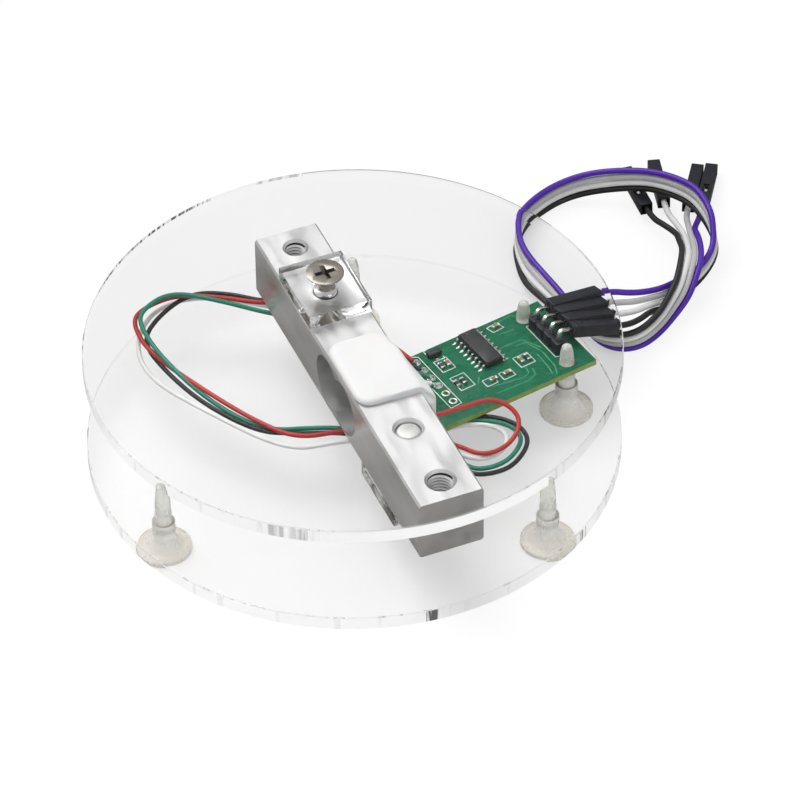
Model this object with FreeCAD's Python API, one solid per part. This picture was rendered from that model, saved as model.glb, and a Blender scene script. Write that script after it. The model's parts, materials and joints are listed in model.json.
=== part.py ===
import FreeCAD
import Part
import math
import os

V = FreeCAD.Vector

# A bar load cell between two clear round plates, with its converter board and jumper wires.
# Millimetres, +Z up. The origin is on the floor under the middle of the plates, and the bar
# lies along Y.

# Plates and the clear blocks between them and the bar
plate_diameter = 100.0
plate_thickness = 3.0
plate_edge_break = 0.2
block_thickness = 3.0
block_length = 15.5
block_width = 12.7

# Bar with its double-bored window and four tapped holes
bar_length = 80.0
bar_side = 12.7
bar_edge_break = 0.4
bar_x = 2.94
bar_y = 0.67
window_bore = 11.0
window_spacing = 7.5
outer_hole_offset = 35.0
inner_hole_offset = 20.0
far_thread = 4.0
near_thread = 5.0
thread_mouth = 0.5
thread_clearance = 0.1

# Countersunk screws, both with a 90 degree cone and a cross recess
screw_rim = 0.25
screw_tip_break = 0.5
upper_head = 7.2
lower_head = 9.0
screw_seat_clearance = 0.2
screw_hole_clearance = 0.5
upper_engagement = 6.0
lower_engagement = 10.0
recess_share = 0.58
recess_width = 0.95
recess_depth = 1.7
recess_taper = 0.7
recess_overcut = 0.1

# Push-in posts: three are the feet, two hold the board
post_height = 7.0
flange_diameter = 10.2
flange_thickness = 0.9
skirt_diameter = 8.4
skirt_height = 2.9
skirt_curve_out = 0.26
skirt_curve_up = 0.4
column_diameter = 4.3
peg_root = 3.2
peg_waist = 2.84
peg_tip = 1.9
peg_waist_height = 5.6
peg_shoulder = 2.48
peg_shoulder_height = 7.8
peg_length = 9.7
peg_dome = 0.5
post_hole_clearance = 0.1
foot_rim_inset = 9.0
foot_first_angle = 68.0
foot_count = 3

# Board, turned a little on the plate and held by its two posts
board_length = 34.0
board_width = 20.0
board_thickness = 1.2
board_gap = 1.2
board_turn = 10.0
board_rim_inset = 3.3
board_edge_y = 7.3
board_hole = 3.2
board_hole_inset = 4.95
board_hole_spacing = 14.7
pad_hole = 1.0
pad_pitch = 2.54
pad_inset = 5.15
pad_first = 8.0
pad_count = 6
joint_radius = 0.75
joint_top = 0.6
joint_tip_radius = 0.3
pin_joint_tip = 0.6
bare_end_diameter = 0.5
bare_end_gap = 0.12

# Parts on the board
chip_width = 3.9
chip_length = 9.9
chip_height = 1.45
chip_draft = 0.2
chip_stand = 0.15
chip_pitch = 1.27
chip_lead_rows = 8
chip_lead_width = 0.42
chip_lead_thickness = 0.2
chip_lead_knee = 0.75
chip_lead_span = 6.0
dimple_radius = 0.4
dimple_inset = 1.0
dimple_depth = 0.1
chip_v = 4.0
transistor_inset = 9.1
transistor_v = 7.9
transistor_length = 2.9
transistor_width = 1.3
transistor_height = 1.0
transistor_span = 2.4
transistor_pitch = 0.95
transistor_draft = 0.12
transistor_stand = 0.1
transistor_lead_root = 0.1
transistor_lead_knee = 0.45
transistor_lead_width = 0.42
transistor_lead_thickness = 0.15
part_0603_length = 1.6
part_0603_width = 0.8
part_0603_height = 0.55
part_0603_cap = 0.35
part_0603_step = 0.05

# Where the small parts sit: what each is measured from, u and v from there, and its turn
resistor_places = [
    ("left edge", 8.5, 4.5, 90),
    ("left edge", 8.2, -1.3, 90),
    ("left edge", 9.6, -1.3, 90),
    ("right edge", -10.6, -2.4, 90),
]
capacitor_places = [
    ("left edge", 9.9, 4.5, 90),
    ("right edge", -12.0, -2.4, 90),
    ("chip", 6.3, 8.2, 0),
    ("chip", -2.3, -4.0, 0),
    ("chip", 0.8, -3.9, 0),
]

# Four-way header with bent pins, and the jumper sockets
pin_pitch = 2.54
pin_side = 0.64
pin_count = 4
header_inset = 4.4
header_width = 2.5
header_height = 2.54
header_corner = 0.45
pin_bend = 0.7
pin_tail = 0.9
pin_engagement = 4.2
socket_heading = 21.0
socket_droops = [20.0, 23.0, 26.0, 29.0]
mouth_reach = 3.25
mouth_height = 3.2
socket_side = 2.45
socket_length = 14.0
socket_front = 0.6
socket_mouth = 1.0
socket_cavity = 1.8
socket_edge_break = 0.2
window_start = 7.4
window_length = 2.6
window_width = 1.2
contact_side = 1.6
contact_bore = 1.0
contact_length = 6.0
contact_strip = 2.0
contact_floor = 0.3
contact_end = 12.0
crimp_diameter = 1.5

# Silicone over the gauges and the foil gauges under it
cover_thickness = 1.2
cover_under = 0.5
cover_side = 2.0
cover_far = 6.3
cover_near = -10.8
cover_corner = 2.8
cover_round = 0.8
cover_side_far = 2.0
cover_side_near = -13.0
cover_block_gap = 0.3
gauge_length = 5.6
gauge_width = 4.6
gauge_thickness = 0.12
gauge_bead = 0.3
gauge_bead_height = 0.36

# Wires
jumper_diameter = 1.2
lead_diameter = 0.9
jumper_straight = 5.2
free_tip_height = 1.35
arc_share = 0.45

# Levels that follow from the sizes above
plate_radius = plate_diameter / 2
foot_radius = plate_radius - foot_rim_inset
board_edge_x = plate_radius - board_rim_inset
chip_u = -board_length / 2
small_part_starts = {"left edge": -board_length, "chip": chip_u, "right edge": 0.0}
lower_plate_z = post_height
lower_plate_top = lower_plate_z + plate_thickness
bar_z = lower_plate_top + block_thickness
bar_top = bar_z + bar_side
upper_plate_z = bar_top + block_thickness
upper_plate_top = upper_plate_z + plate_thickness
board_z = lower_plate_top + board_gap
board_top = board_z + board_thickness
upper_screw_y = bar_y + inner_hole_offset
lower_screw_y = bar_y - inner_hole_offset
upper_screw_length = plate_thickness + block_thickness + upper_engagement
lower_screw_length = plate_thickness + block_thickness + lower_engagement
overcut = 1.0
close = 1e-6

# Hand-chosen routes. The jumper ribbon is given by its two edges, purple and black, and its
# grey and white wires lie a third and two thirds of the way between them.
ribbon_purple_edge = [
    (64.2, 16.3, 8.4), (68.8, 16.7, 7.0), (73.0, 18.4, 5.4), (77.8, 20.4, 4.7),
    (82.0, 21.8, 4.8), (85.9, 25.2, 5.2), (87.4, 28.2, 7.0), (88.4, 31.5, 9.0),
    (88.4, 37.4, 9.8), (86.8, 41.1, 9.8), (84.1, 45.2, 9.4), (79.9, 49.2, 8.6),
    (72.8, 54.7, 6.0), (65.4, 55.2, 4.9), (58.6, 52.2, 4.9), (54.9, 48.9, 4.9),
    (53.3, 45.0, 4.9), (52.2, 41.2, 5.1), (52.2, 37.0, 4.9), (52.9, 32.4, 4.6),
    (54.2, 26.5, 3.7), (55.2, 19.5, 2.2), (56.0, 13.8, 1.0), (58.8, 10.2, 0.7),
    (63.2, 9.2, 0.7), (67.8, 10.8, 1.0), (72.6, 13.6, 2.0), (76.3, 15.4, 4.0),
    (79.3, 18.3, 6.4), (81.9, 21.9, 6.9), (83.5, 25.8, 6.6), (84.6, 29.5, 5.8),
]
ribbon_black_edge = [
    (63.6, 10.6, 6.5), (67.3, 13.5, 5.0), (71.3, 15.6, 2.6), (77.0, 19.6, 0.7),
    (82.4, 22.6, 0.7), (87.2, 26.6, 1.2), (88.5, 29.3, 3.0), (88.3, 33.3, 4.8),
    (87.5, 38.1, 5.6), (85.7, 41.9, 5.6), (82.9, 45.7, 5.2), (79.8, 48.8, 4.4),
    (72.5, 53.9, 1.8), (66.4, 54.7, 0.8), (60.3, 52.3, 0.9), (56.5, 49.9, 1.0),
    (52.7, 45.2, 1.0), (51.4, 41.2, 1.1), (50.3, 37.0, 1.4), (49.6, 32.4, 2.4),
    (50.1, 26.5, 3.7), (51.5, 19.6, 4.2), (54.3, 12.8, 4.8), (58.6, 9.5, 4.9),
    (63.1, 9.2, 4.9), (68.3, 11.7, 5.7), (71.8, 15.0, 6.2), (74.6, 17.6, 7.2),
    (77.3, 21.6, 7.8), (79.4, 25.3, 7.4), (80.2, 28.6, 6.6), (81.2, 31.8, 5.4),
]

# Each wire's own stretch past the split, and its free socket: (x, y) and height of the end
# that the wire enters, and the heading towards the open mouth
jumper_tails = {
    "purple": [(85.4, 32.6, 4.4), (86.8, 34.8, 3.4)],
    "grey": [(84.9, 34.6, 4.6)],
    "white": [(82.8, 36.2, 4.5)],
    "black": [(80.4, 36.0, 4.6)],
}
free_ends = {
    "purple": (90.4, 39.6, 2.8, 57.0),
    "grey": (87.8, 40.6, 3.0, 57.0),
    "white": (84.0, 43.6, 3.0, 74.0),
    "black": (80.1, 43.3, 3.0, 83.0),
}

# The leads leave the silicone, loop at the bar's right, pass under it, loop at its left, pass
# under its far end and come back along its right side to the board's pads
lead_routes = {
    "red": [
        (11.3, -9.3, 17.0), (14.2, -9.3, 17.0), (19.3, -8.9, 16.6), (24.0, -8.1, 16.0),
        (27.0, -9.9, 15.0), (28.3, -13.0, 13.4), (25.6, -16.2, 12.1), (21.4, -17.8, 11.7),
        (17.8, -17.0, 11.7), (15.6, -13.4, 11.6), (9.4, -6.9, 11.5), (3.5, -3.2, 11.5),
        (-2.4, -0.9, 11.5), (-11.3, 0.5, 11.5), (-16.2, 7.4, 11.5), (-20.8, 16.3, 11.5),
        (-27.9, 32.3, 13.3), (-27.4, 41.6, 13.6), (-24.8, 44.4, 13.7), (-14.8, 43.3, 13.7),
        (-3.1, 37.0, 12.4), (6.0, 35.0, 12.4), (12.2, 29.5, 12.3), (12.9, 20.5, 11.8),
    ],
    "black": [
        (11.3, -5.2, 13.6), (12.6, -5.2, 13.6), (13.7, -4.9, 10.5), (16.6, -4.6, 10.45),
        (20.8, -5.4, 10.5), (25.8, -7.8, 10.5), (28.8, -11.8, 10.5), (28.6, -16.6, 10.5),
        (23.6, -21.1, 10.5), (19.3, -21.8, 10.5), (15.0, -20.5, 10.5), (12.3, -14.9, 10.5),
        (8.9, -9.5, 10.5), (2.8, -4.3, 10.5), (-2.2, -0.4, 10.5), (-11.2, 3.1, 10.5),
        (-17.1, 6.3, 10.5), (-23.4, 17.1, 10.5), (-26.9, 27.7, 11.0), (-28.3, 37.4, 11.5),
        (-22.1, 43.3, 11.5), (-14.4, 46.6, 11.5), (-7.8, 43.4, 11.5), (-2.5, 38.6, 11.45),
        (5.0, 35.5, 11.45), (10.8, 29.0, 11.45), (11.9, 20.5, 11.2),
    ],
    "green": [
        (11.3, -6.6, 13.6), (12.6, -6.6, 13.6), (13.7, -6.3, 10.5), (16.6, -5.8, 10.45),
        (20.5, -6.6, 10.5), (25.0, -8.7, 10.5), (27.6, -12.0, 10.5), (27.6, -15.6, 10.5),
        (23.4, -19.4, 10.5), (19.0, -20.2, 10.5), (15.6, -19.0, 10.5), (13.6, -13.9, 10.5),
        (9.3, -8.4, 10.5), (3.2, -2.9, 10.5), (-2.2, 1.0, 10.5), (-8.0, 3.4, 10.5),
        (-13.7, 5.2, 10.5), (-17.7, 8.9, 10.5), (-22.7, 18.9, 10.5), (-27.2, 30.2, 12.2),
        (-27.7, 39.7, 12.5), (-25.8, 43.6, 12.5), (-18.9, 46.4, 12.5), (-11.5, 41.0, 12.3),
        (-2.3, 34.3, 11.6), (4.0, 30.0, 11.6), (9.6, 25.5, 11.6), (10.9, 20.5, 11.2),
        (11.1, 16.5, 12.4),
    ],
    "white": [
        (11.3, -8.2, 13.6), (12.7, -8.2, 13.6), (14.0, -7.8, 10.5), (16.6, -7.0, 10.45),
        (20.6, -7.7, 10.5), (24.2, -9.8, 10.5), (25.6, -13.2, 10.5), (23.5, -16.6, 10.5),
        (19.0, -17.9, 10.6), (15.4, -16.4, 11.5), (12.3, -12.0, 11.5), (5.5, -7.2, 11.5),
        (-2.1, -3.9, 11.5), (-7.0, -2.7, 11.2), (-11.7, -1.2, 10.5), (-16.6, 3.3, 10.5),
        (-23.7, 15.2, 10.5), (-30.1, 27.1, 10.5), (-29.9, 36.7, 10.5), (-24.7, 44.4, 10.5),
        (-17.5, 47.0, 10.5), (-9.5, 44.2, 10.5), (-3.4, 39.2, 10.5), (3.0, 34.0, 10.5),
        (8.5, 27.5, 10.5), (9.95, 20.5, 10.5), (10.1, 16.0, 12.2),
    ],
}

# Their last points lie over the board: from its left edge, from its middle line and over its top
lead_landings = {
    "red": [
        (2.86, 15.14, 0.8), (3.04, 12.16, 1.8), (3.55, 9.84, 1.6), (4.26, 7.83, 1.0),
    ],
    "black": [
        (1.72, 15.03, 0.2), (1.8, 11.47, 1.7), (2.45, 8.2, 1.8), (4.1, 4.92, 1.0),
    ],
    "green": [
        (0.55, 11.28, 1.7), (1.01, 7.54, 1.9), (2.47, 4.34, 1.6), (4.38, 2.48, 1.0),
    ],
    "white": [
        (-0.67, 10.68, 1.6), (-0.12, 6.32, 1.9), (1.59, 1.65, 1.7), (3.77, 0.76, 0.9),
    ],
}
jumper_colours = ["purple", "grey", "white", "black"]
pad_order = ["red", "black", "green", "white"]


def box(x0, x1, y0, y1, z0, z1):
    """Box between two corners."""
    return Part.makeBox(x1 - x0, y1 - y0, z1 - z0, V(x0, y0, z0))


def turned(outline):
    """Solid turned about Z from (radius, height) points."""
    points = [V(radius, 0, height) for radius, height in outline]
    face = Part.Face(Part.makePolygon(points + points[:1]))
    return face.revolve(V(0, 0, 0), V(0, 0, 1), 360)


def moved(shape, x, y, z=0.0, heading=0.0, droop=0.0):
    """The shape with its own X axis at a heading, drooping below level, from a point."""
    turn = FreeCAD.Rotation(V(0, 0, 1), heading) * FreeCAD.Rotation(V(0, 1, 0), droop)
    copy = shape.copy()
    copy.Placement = FreeCAD.Placement(V(x, y, z), turn).multiply(copy.Placement)
    return copy


def axis(heading, droop):
    """Unit vector at a heading in plan, drooping below level."""
    level = math.cos(math.radians(droop))
    return V(
        level * math.cos(math.radians(heading)),
        level * math.sin(math.radians(heading)),
        -math.sin(math.radians(droop)),
    )


def joined(solids):
    """One solid from solids that overlap or share a face."""
    return solids[0].multiFuse(solids[1:]).removeSplitter()


def export(name, solids):
    """Write one sub-part; several like pieces are kept as separate solids."""
    shape = solids[0] if len(solids) == 1 else Part.makeCompound(solids)
    shape.exportStep("parts/" + name + ".step")


def circle_edges(solid, radius):
    """The round edges of a radius."""
    return [
        edge for edge in solid.Edges
        if isinstance(edge.Curve, Part.Circle) and abs(edge.Curve.Radius - radius) < close
    ]


def on_board(u, v):
    """Plan position of a point of the board: u from its right edge, v from its middle line."""
    turn = math.radians(board_turn)
    x = board_edge_x + u * math.cos(turn) - v * math.sin(turn)
    y = board_edge_y + u * math.sin(turn) + v * math.cos(turn)
    return x, y


def board_post_places():
    """Plan positions of the far and near board post."""
    return [on_board(-board_hole_inset, side * board_hole_spacing / 2) for side in (1, -1)]


def foot_places():
    """Plan positions of the feet, evenly round their circle."""
    angles = [math.radians(foot_first_angle + i * 360 / foot_count) for i in range(foot_count)]
    return [(foot_radius * math.cos(a), foot_radius * math.sin(a)) for a in angles]


def pad_v(index):
    """Distance of a lead pad from the board's middle line."""
    return pad_first - index * pad_pitch


def pin_v(index):
    """Distance of a header pin from the board's middle line."""
    return (pin_count - 1) / 2 * pin_pitch - index * pin_pitch


def countersink(head, hole):
    """Cutter for a flush screw through a plate, its mouth at z = 0."""
    mouth = head / 2 + screw_seat_clearance
    seat = screw_rim - screw_seat_clearance
    narrow = (hole + screw_hole_clearance) / 2
    return turned([
        (0, overcut),
        (mouth, overcut),
        (mouth, -seat),
        (narrow, -seat - (mouth - narrow)),
        (narrow, -plate_thickness - overcut),
        (0, -plate_thickness - overcut),
    ])


def round_plate(level, head, hole, head_up, screw_y, post_places):
    """Clear plate with one countersunk screw hole and its post holes."""
    plate = Part.makeCylinder(plate_radius, plate_thickness, V(0, 0, level))
    plate = plate.makeChamfer(plate_edge_break, circle_edges(plate, plate_radius))
    cutter = countersink(head, hole)
    if head_up:
        cutter = moved(cutter, bar_x, screw_y, level + plate_thickness)
    else:
        cutter.rotate(V(0, 0, 0), V(1, 0, 0), 180)
        cutter.translate(V(bar_x, screw_y, level))
    cutters = [cutter]
    for x, y in post_places:
        hole_radius = (peg_root + post_hole_clearance) / 2
        cutters.append(
            Part.makeCylinder(hole_radius, plate_thickness + 2 * overcut, V(x, y, level - overcut))
        )
    return plate.cut(cutters)


def spacer_block(level, screw_y, hole):
    """Clear block that lifts the bar off a plate."""
    block = box(
        bar_x - block_width / 2, bar_x + block_width / 2,
        screw_y - block_length / 2, screw_y + block_length / 2,
        level, level + block_thickness,
    )
    radius = (hole + screw_hole_clearance) / 2
    bore = Part.makeCylinder(radius, block_thickness + 2 * overcut, V(bar_x, screw_y, level - overcut))
    return block.cut(bore)


def bar_envelope():
    """The bar's plain outer block, with broken long edges."""
    block = box(
        bar_x - bar_side / 2, bar_x + bar_side / 2,
        bar_y - bar_length / 2, bar_y + bar_length / 2,
        bar_z, bar_top,
    )
    long_edges = [edge for edge in block.Edges if abs(edge.Length - bar_length) < close]
    return block.makeChamfer(bar_edge_break, long_edges)


def tapped_hole(y, diameter):
    """Cutter for a hole through the bar's height with a chamfered mouth at each face."""
    radius = diameter / 2
    wide = radius + thread_mouth + overcut
    depth = thread_mouth
    cutter = turned([
        (0, bar_z - overcut),
        (wide, bar_z - overcut),
        (radius, bar_z + depth),
        (radius, bar_top - depth),
        (wide, bar_top + overcut),
        (0, bar_top + overcut),
    ])
    cutter.translate(V(bar_x, y, 0))
    return cutter


def load_cell_bar():
    """Aluminium bar: the two crossing bores leave thin walls that bend under load."""
    middle_z = (bar_z + bar_top) / 2
    start_x = bar_x - bar_side / 2 - overcut
    cutters = []
    for side in (-1, 1):
        cutters.append(
            Part.makeCylinder(
                window_bore / 2, bar_side + 2 * overcut,
                V(start_x, bar_y + side * window_spacing / 2, middle_z), V(1, 0, 0),
            )
        )
    for offset in (outer_hole_offset, inner_hole_offset):
        cutters.append(tapped_hole(bar_y + offset, far_thread))
        cutters.append(tapped_hole(bar_y - offset, near_thread))
    return bar_envelope().cut(cutters)


def cross_recess(head):
    """Cutter for the tapered cross in a screw head, its mouth at z = 0."""
    wide = head * recess_share / 2
    narrow = wide - recess_depth * recess_taper
    wing_face = Part.Face(Part.makePolygon([
        V(-wide, -recess_width / 2, recess_overcut),
        V(wide, -recess_width / 2, recess_overcut),
        V(narrow, -recess_width / 2, -recess_depth),
        V(-narrow, -recess_width / 2, -recess_depth),
        V(-wide, -recess_width / 2, recess_overcut),
    ]))
    wing = wing_face.extrude(V(0, recess_width, 0))
    other = wing.copy()
    other.rotate(V(0, 0, 0), V(0, 0, 1), 90)
    return wing.fuse(other)


def countersunk_screw(thread, head, length):
    """Flush screw hanging down from its head's top face at z = 0."""
    shank = (thread - thread_clearance) / 2
    rim = head / 2
    screw = turned([
        (0, 0),
        (rim, 0),
        (rim, -screw_rim),
        (shank, -screw_rim - (rim - shank)),
        (shank, screw_tip_break - length),
        (shank - screw_tip_break, -length),
        (0, -length),
    ])
    return screw.cut(cross_recess(head))


def upper_screw():
    """Screw through the top plate and its block into the bar."""
    screw = countersunk_screw(far_thread, upper_head, upper_screw_length)
    return moved(screw, bar_x, upper_screw_y, upper_plate_top)


def lower_screw():
    """Screw through the bottom plate and its block up into the bar."""
    screw = countersunk_screw(near_thread, lower_head, lower_screw_length)
    screw.rotate(V(0, 0, 0), V(1, 0, 0), 180)
    screw.translate(V(bar_x, lower_screw_y, lower_plate_z))
    return screw


def post():
    """Nylon post: flange, flared skirt, column, shoulder and tapered push-in peg."""
    column = column_diameter / 2
    skirt = skirt_diameter / 2
    tip_z = post_height + peg_length
    waist = V(peg_waist / 2, 0, post_height + peg_waist_height)
    dome_foot = V(peg_tip / 2, 0, tip_z - peg_dome)
    skirt_foot = V(skirt, 0, flange_thickness)
    skirt_top = V(column, 0, flange_thickness + skirt_height)
    skirt_mid = V(
        column + skirt_curve_out * (skirt - column), 0,
        flange_thickness + skirt_curve_up * skirt_height,
    )
    shoulder = V(peg_shoulder / 2, 0, post_height + peg_shoulder_height)
    dome_radius = ((peg_tip / 2) ** 2 + peg_dome ** 2) / (2 * peg_dome)
    half_dome = math.asin(peg_tip / 2 / dome_radius) / 2
    dome_mid = V(
        dome_radius * math.sin(half_dome), 0, tip_z - dome_radius * (1 - math.cos(half_dome))
    )
    outline = [
        Part.makeLine(V(0, 0, 0), V(flange_diameter / 2, 0, 0)),
        Part.makeLine(V(flange_diameter / 2, 0, 0), V(flange_diameter / 2, 0, flange_thickness)),
        Part.makeLine(V(flange_diameter / 2, 0, flange_thickness), skirt_foot),
        Part.Arc(skirt_foot, skirt_mid, skirt_top).toShape(),
        Part.makeLine(skirt_top, V(column, 0, post_height)),
        Part.makeLine(V(column, 0, post_height), V(peg_root / 2, 0, post_height)),
        Part.makeLine(V(peg_root / 2, 0, post_height), waist),
        Part.makeLine(waist, shoulder),
        Part.makeLine(shoulder, dome_foot),
        Part.Arc(dome_foot, dome_mid, V(0, 0, tip_z)).toShape(),
        Part.makeLine(V(0, 0, tip_z), V(0, 0, 0)),
    ]
    return Part.Face(Part.Wire(outline)).revolve(V(0, 0, 0), V(0, 0, 1), 360)


def circuit_board():
    """Bare board with its post holes, lead pads and header holes, top face up."""
    board = box(-board_length, 0, -board_width / 2, board_width / 2, 0, board_thickness)
    holes = []
    for side in (-1, 1):
        holes.append((-board_hole_inset, side * board_hole_spacing / 2, board_hole))
    for i in range(pad_count):
        holes.append((pad_inset - board_length, pad_v(i), pad_hole))
    for i in range(pin_count):
        holes.append((-header_inset, pin_v(i), pad_hole))
    cutters = [
        Part.makeCylinder(hole / 2, board_thickness + 2 * overcut, V(u, v, -overcut))
        for u, v, hole in holes
    ]
    return moved(board.cut(cutters), board_edge_x, board_edge_y, board_z, board_turn)


def seated(shape, u, v, turn=0.0):
    """A part built at the origin, put on the board's top face."""
    x, y = on_board(u, v)
    return moved(shape, x, y, board_top, board_turn + turn)


def tapered_body(width, length, height, draft, stand):
    """Moulded body that narrows from its parting line to its top and bottom."""
    def ring(inset, level):
        x = width / 2 - inset
        y = length / 2 - inset
        corners = [V(-x, -y, level), V(x, -y, level), V(x, y, level), V(-x, y, level)]
        return Part.makePolygon(corners + corners[:1])
    middle = stand + height / 2
    lower = Part.makeLoft([ring(draft, stand), ring(0, middle)], True, True)
    upper = Part.makeLoft([ring(0, middle), ring(draft, stand + height)], True, True)
    return joined([lower, upper])


def gull_lead(root, tip, knee, width, thickness):
    """Formed lead from a body's side down to the board, along +X."""
    heel = (root + tip) / 2
    outline = [
        V(root, 0, knee + thickness), V(heel - thickness / 2, 0, knee + thickness),
        V(heel + thickness, 0, thickness), V(tip, 0, thickness), V(tip, 0, 0),
        V(heel, 0, 0), V(heel - thickness * 1.5, 0, knee), V(root, 0, knee),
    ]
    face = Part.Face(Part.makePolygon(outline + outline[:1]))
    face.translate(V(0, -width / 2, 0))
    return face.extrude(V(0, width, 0))


def converter_chip():
    """Sixteen-lead chip body with its dimple by the first lead."""
    body = tapered_body(chip_width, chip_length, chip_height, chip_draft, chip_stand)
    top = chip_stand + chip_height
    dimple_place = V(dimple_inset - chip_width / 2, chip_length / 2 - dimple_inset, top - dimple_depth)
    dimple = Part.makeCylinder(dimple_radius, overcut, dimple_place)
    return seated(body.cut(dimple), chip_u, chip_v)


def chip_leads():
    """The chip's two rows of formed leads."""
    leads = []
    for side in (0, 180):
        for i in range(chip_lead_rows):
            lead = gull_lead(
                chip_width / 2, chip_lead_span / 2, chip_lead_knee,
                chip_lead_width, chip_lead_thickness,
            )
            lead.translate(V(0, (i - (chip_lead_rows - 1) / 2) * chip_pitch, 0))
            lead.rotate(V(0, 0, 0), V(0, 0, 1), side)
            leads.append(seated(lead, chip_u, chip_v))
    return leads


def transistor():
    """Three-lead surface transistor, its leads moulded in."""
    body = tapered_body(
        transistor_length, transistor_width, transistor_height, transistor_draft, transistor_stand
    )
    pieces = [body]
    for heading, offset in ((90, -transistor_pitch), (90, transistor_pitch), (270, 0)):
        lead = gull_lead(
            transistor_width / 2 - transistor_lead_root, transistor_span / 2,
            transistor_lead_knee, transistor_lead_width, transistor_lead_thickness,
        )
        lead.rotate(V(0, 0, 0), V(0, 0, 1), heading)
        lead.translate(V(offset, 0, 0))
        pieces.append(lead)
    return seated(joined(pieces), transistor_inset - board_length, transistor_v)


def surface_part(start, u, v, turn):
    """Small two-ended part: a body a step lower than its metal ends."""
    length = part_0603_length / 2
    width = part_0603_width / 2
    step = part_0603_step
    body = box(-length, length, step - width, width - step, step, part_0603_height - step)
    ends = [
        box(-length, part_0603_cap - length, -width, width, 0, part_0603_height),
        box(length - part_0603_cap, length, -width, width, 0, part_0603_height),
    ]
    return seated(joined([body] + ends), small_part_starts[start] + u, v, turn)


def header_pin(index):
    """Square pin: up through the board and block, bent over and down into its socket."""
    droop = socket_droops[index]
    half = pin_side / 2
    corner_z = board_top + mouth_height + mouth_reach * math.tan(math.radians(droop))
    tangent = pin_bend * math.tan(math.radians((90 + droop) / 2))
    foot_z = board_z - pin_tail
    bend_z = corner_z - tangent
    upright = box(-half, half, -half, half, foot_z, bend_z)
    section = Part.Face(Part.makePolygon([
        V(-half, -half, bend_z), V(half, -half, bend_z), V(half, half, bend_z),
        V(-half, half, bend_z), V(-half, -half, bend_z),
    ]))
    bend = section.revolve(V(pin_bend, 0, bend_z), V(0, 1, 0), 90 + droop)
    reach = mouth_reach / math.cos(math.radians(droop)) + pin_engagement - tangent
    leg = box(0, reach, -half, half, -half, half)
    level = math.radians(droop)
    leg = moved(leg, tangent * math.cos(level), 0, corner_z - tangent * math.sin(level), 0, droop)
    pin = joined([upright, bend, leg])
    x, y = on_board(-header_inset, pin_v(index))
    return moved(pin, x, y, 0, socket_heading)


def header_block(pins):
    """Moulded strip, one eight-sided cell for each pin."""
    half_u = header_width / 2
    half_v = pin_pitch / 2
    cells = []
    for i in range(pin_count):
        v = pin_v(i)
        corners = [
            (-half_u, v + half_v - header_corner), (header_corner - half_u, v + half_v),
            (half_u - header_corner, v + half_v), (half_u, v + half_v - header_corner),
            (half_u, v - half_v + header_corner), (half_u - header_corner, v - half_v),
            (header_corner - half_u, v - half_v), (-half_u, v - half_v + header_corner),
        ]
        points = [V(u - header_inset, w, 0) for u, w in corners]
        cell = Part.Face(Part.makePolygon(points + points[:1]))
        cells.append(cell.extrude(V(0, 0, header_height)))
    strip = moved(joined(cells), board_edge_x, board_edge_y, board_top, board_turn)
    return strip.cut(pins)


def joint_outline(tip_radius):
    """The underside cone, cut level at the plate, and the filled hole."""
    return [
        (0, -board_thickness - board_gap),
        (tip_radius, -board_thickness - board_gap),
        (joint_radius, -board_thickness),
        (pad_hole / 2, -board_thickness),
        (pad_hole / 2, 0),
    ]


def lead_route(colour):
    """A lead's points: as listed under the bar, then over the board, which carries its end."""
    points = list(lead_routes[colour])
    for from_left, v, height in lead_landings[colour]:
        x, y = on_board(from_left - board_length, v)
        points.append((x, y, board_top + height))
    return points


def bare_end(index):
    """A lead's bare end: a bead just past its insulation and a run to the middle of its pad."""
    route = lead_route(pad_order[index])
    end = V(*route[-1])
    onward = (end - V(*route[-2])).normalize()
    radius = bare_end_diameter / 2
    bead = end + onward * (radius + bare_end_gap)
    x, y = on_board(pad_inset - board_length, pad_v(index))
    run = V(x, y, board_top + joint_top - radius) - bead
    return Part.makeSphere(radius, bead).fuse(Part.makeCylinder(radius, run.Length, bead, run))


def solder_joints(pins):
    """Joints of the four leads and the four pins, their undersides cut level at the plate."""
    joints = []
    for i in range(len(pad_order)):
        cone = turned(joint_outline(joint_tip_radius) + [
            (joint_radius, 0),
            (joint_tip_radius, joint_top),
            (0, joint_top),
        ])
        cone = seated(cone, pad_inset - board_length, pad_v(i))
        joints.append(joined([cone, bare_end(i)]))
    for i in range(pin_count):
        cone = turned(joint_outline(pin_joint_tip) + [(0, 0)])
        joints.append(seated(cone, -header_inset, pin_v(i)).cut(pins[i]))
    return joints


def jumper_socket():
    """Socket housing along +X from its mouth, with its cavity and the latch window on top."""
    half = socket_side / 2
    housing = box(0, socket_length, -half, half, -half, half)
    front_edges = [
        edge for edge in housing.Edges
        if abs(edge.BoundBox.XMin) < close and abs(edge.BoundBox.XMax) < close
    ]
    housing = housing.makeChamfer(socket_edge_break, front_edges)
    cavity = socket_cavity / 2
    mouth = socket_mouth / 2
    window = window_width / 2
    return housing.cut([
        box(socket_front, socket_length + overcut, -cavity, cavity, -cavity, cavity),
        box(-overcut, socket_front + overcut, -mouth, mouth, -mouth, mouth),
        box(window_start, window_start + window_length, -window, window, 0, half + overcut),
    ])


def socket_contact():
    """Crimp contact inside a socket: box spring, floor strip and closed crimp barrel."""
    half = contact_side / 2
    bore = contact_bore / 2
    start = socket_front
    strip_start = start + contact_length
    barrel_start = strip_start + contact_strip
    spring = box(start, strip_start, -half, half, -half, half)
    spring = spring.cut(box(start - overcut, strip_start + overcut, -bore, bore, -bore, bore))
    floor = box(strip_start, barrel_start, -half, half, -half, contact_floor - half)
    barrel = Part.makeCylinder(
        crimp_diameter / 2, contact_end - barrel_start, V(barrel_start, 0, 0), V(1, 0, 0)
    )
    return joined([spring, floor, barrel])


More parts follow.
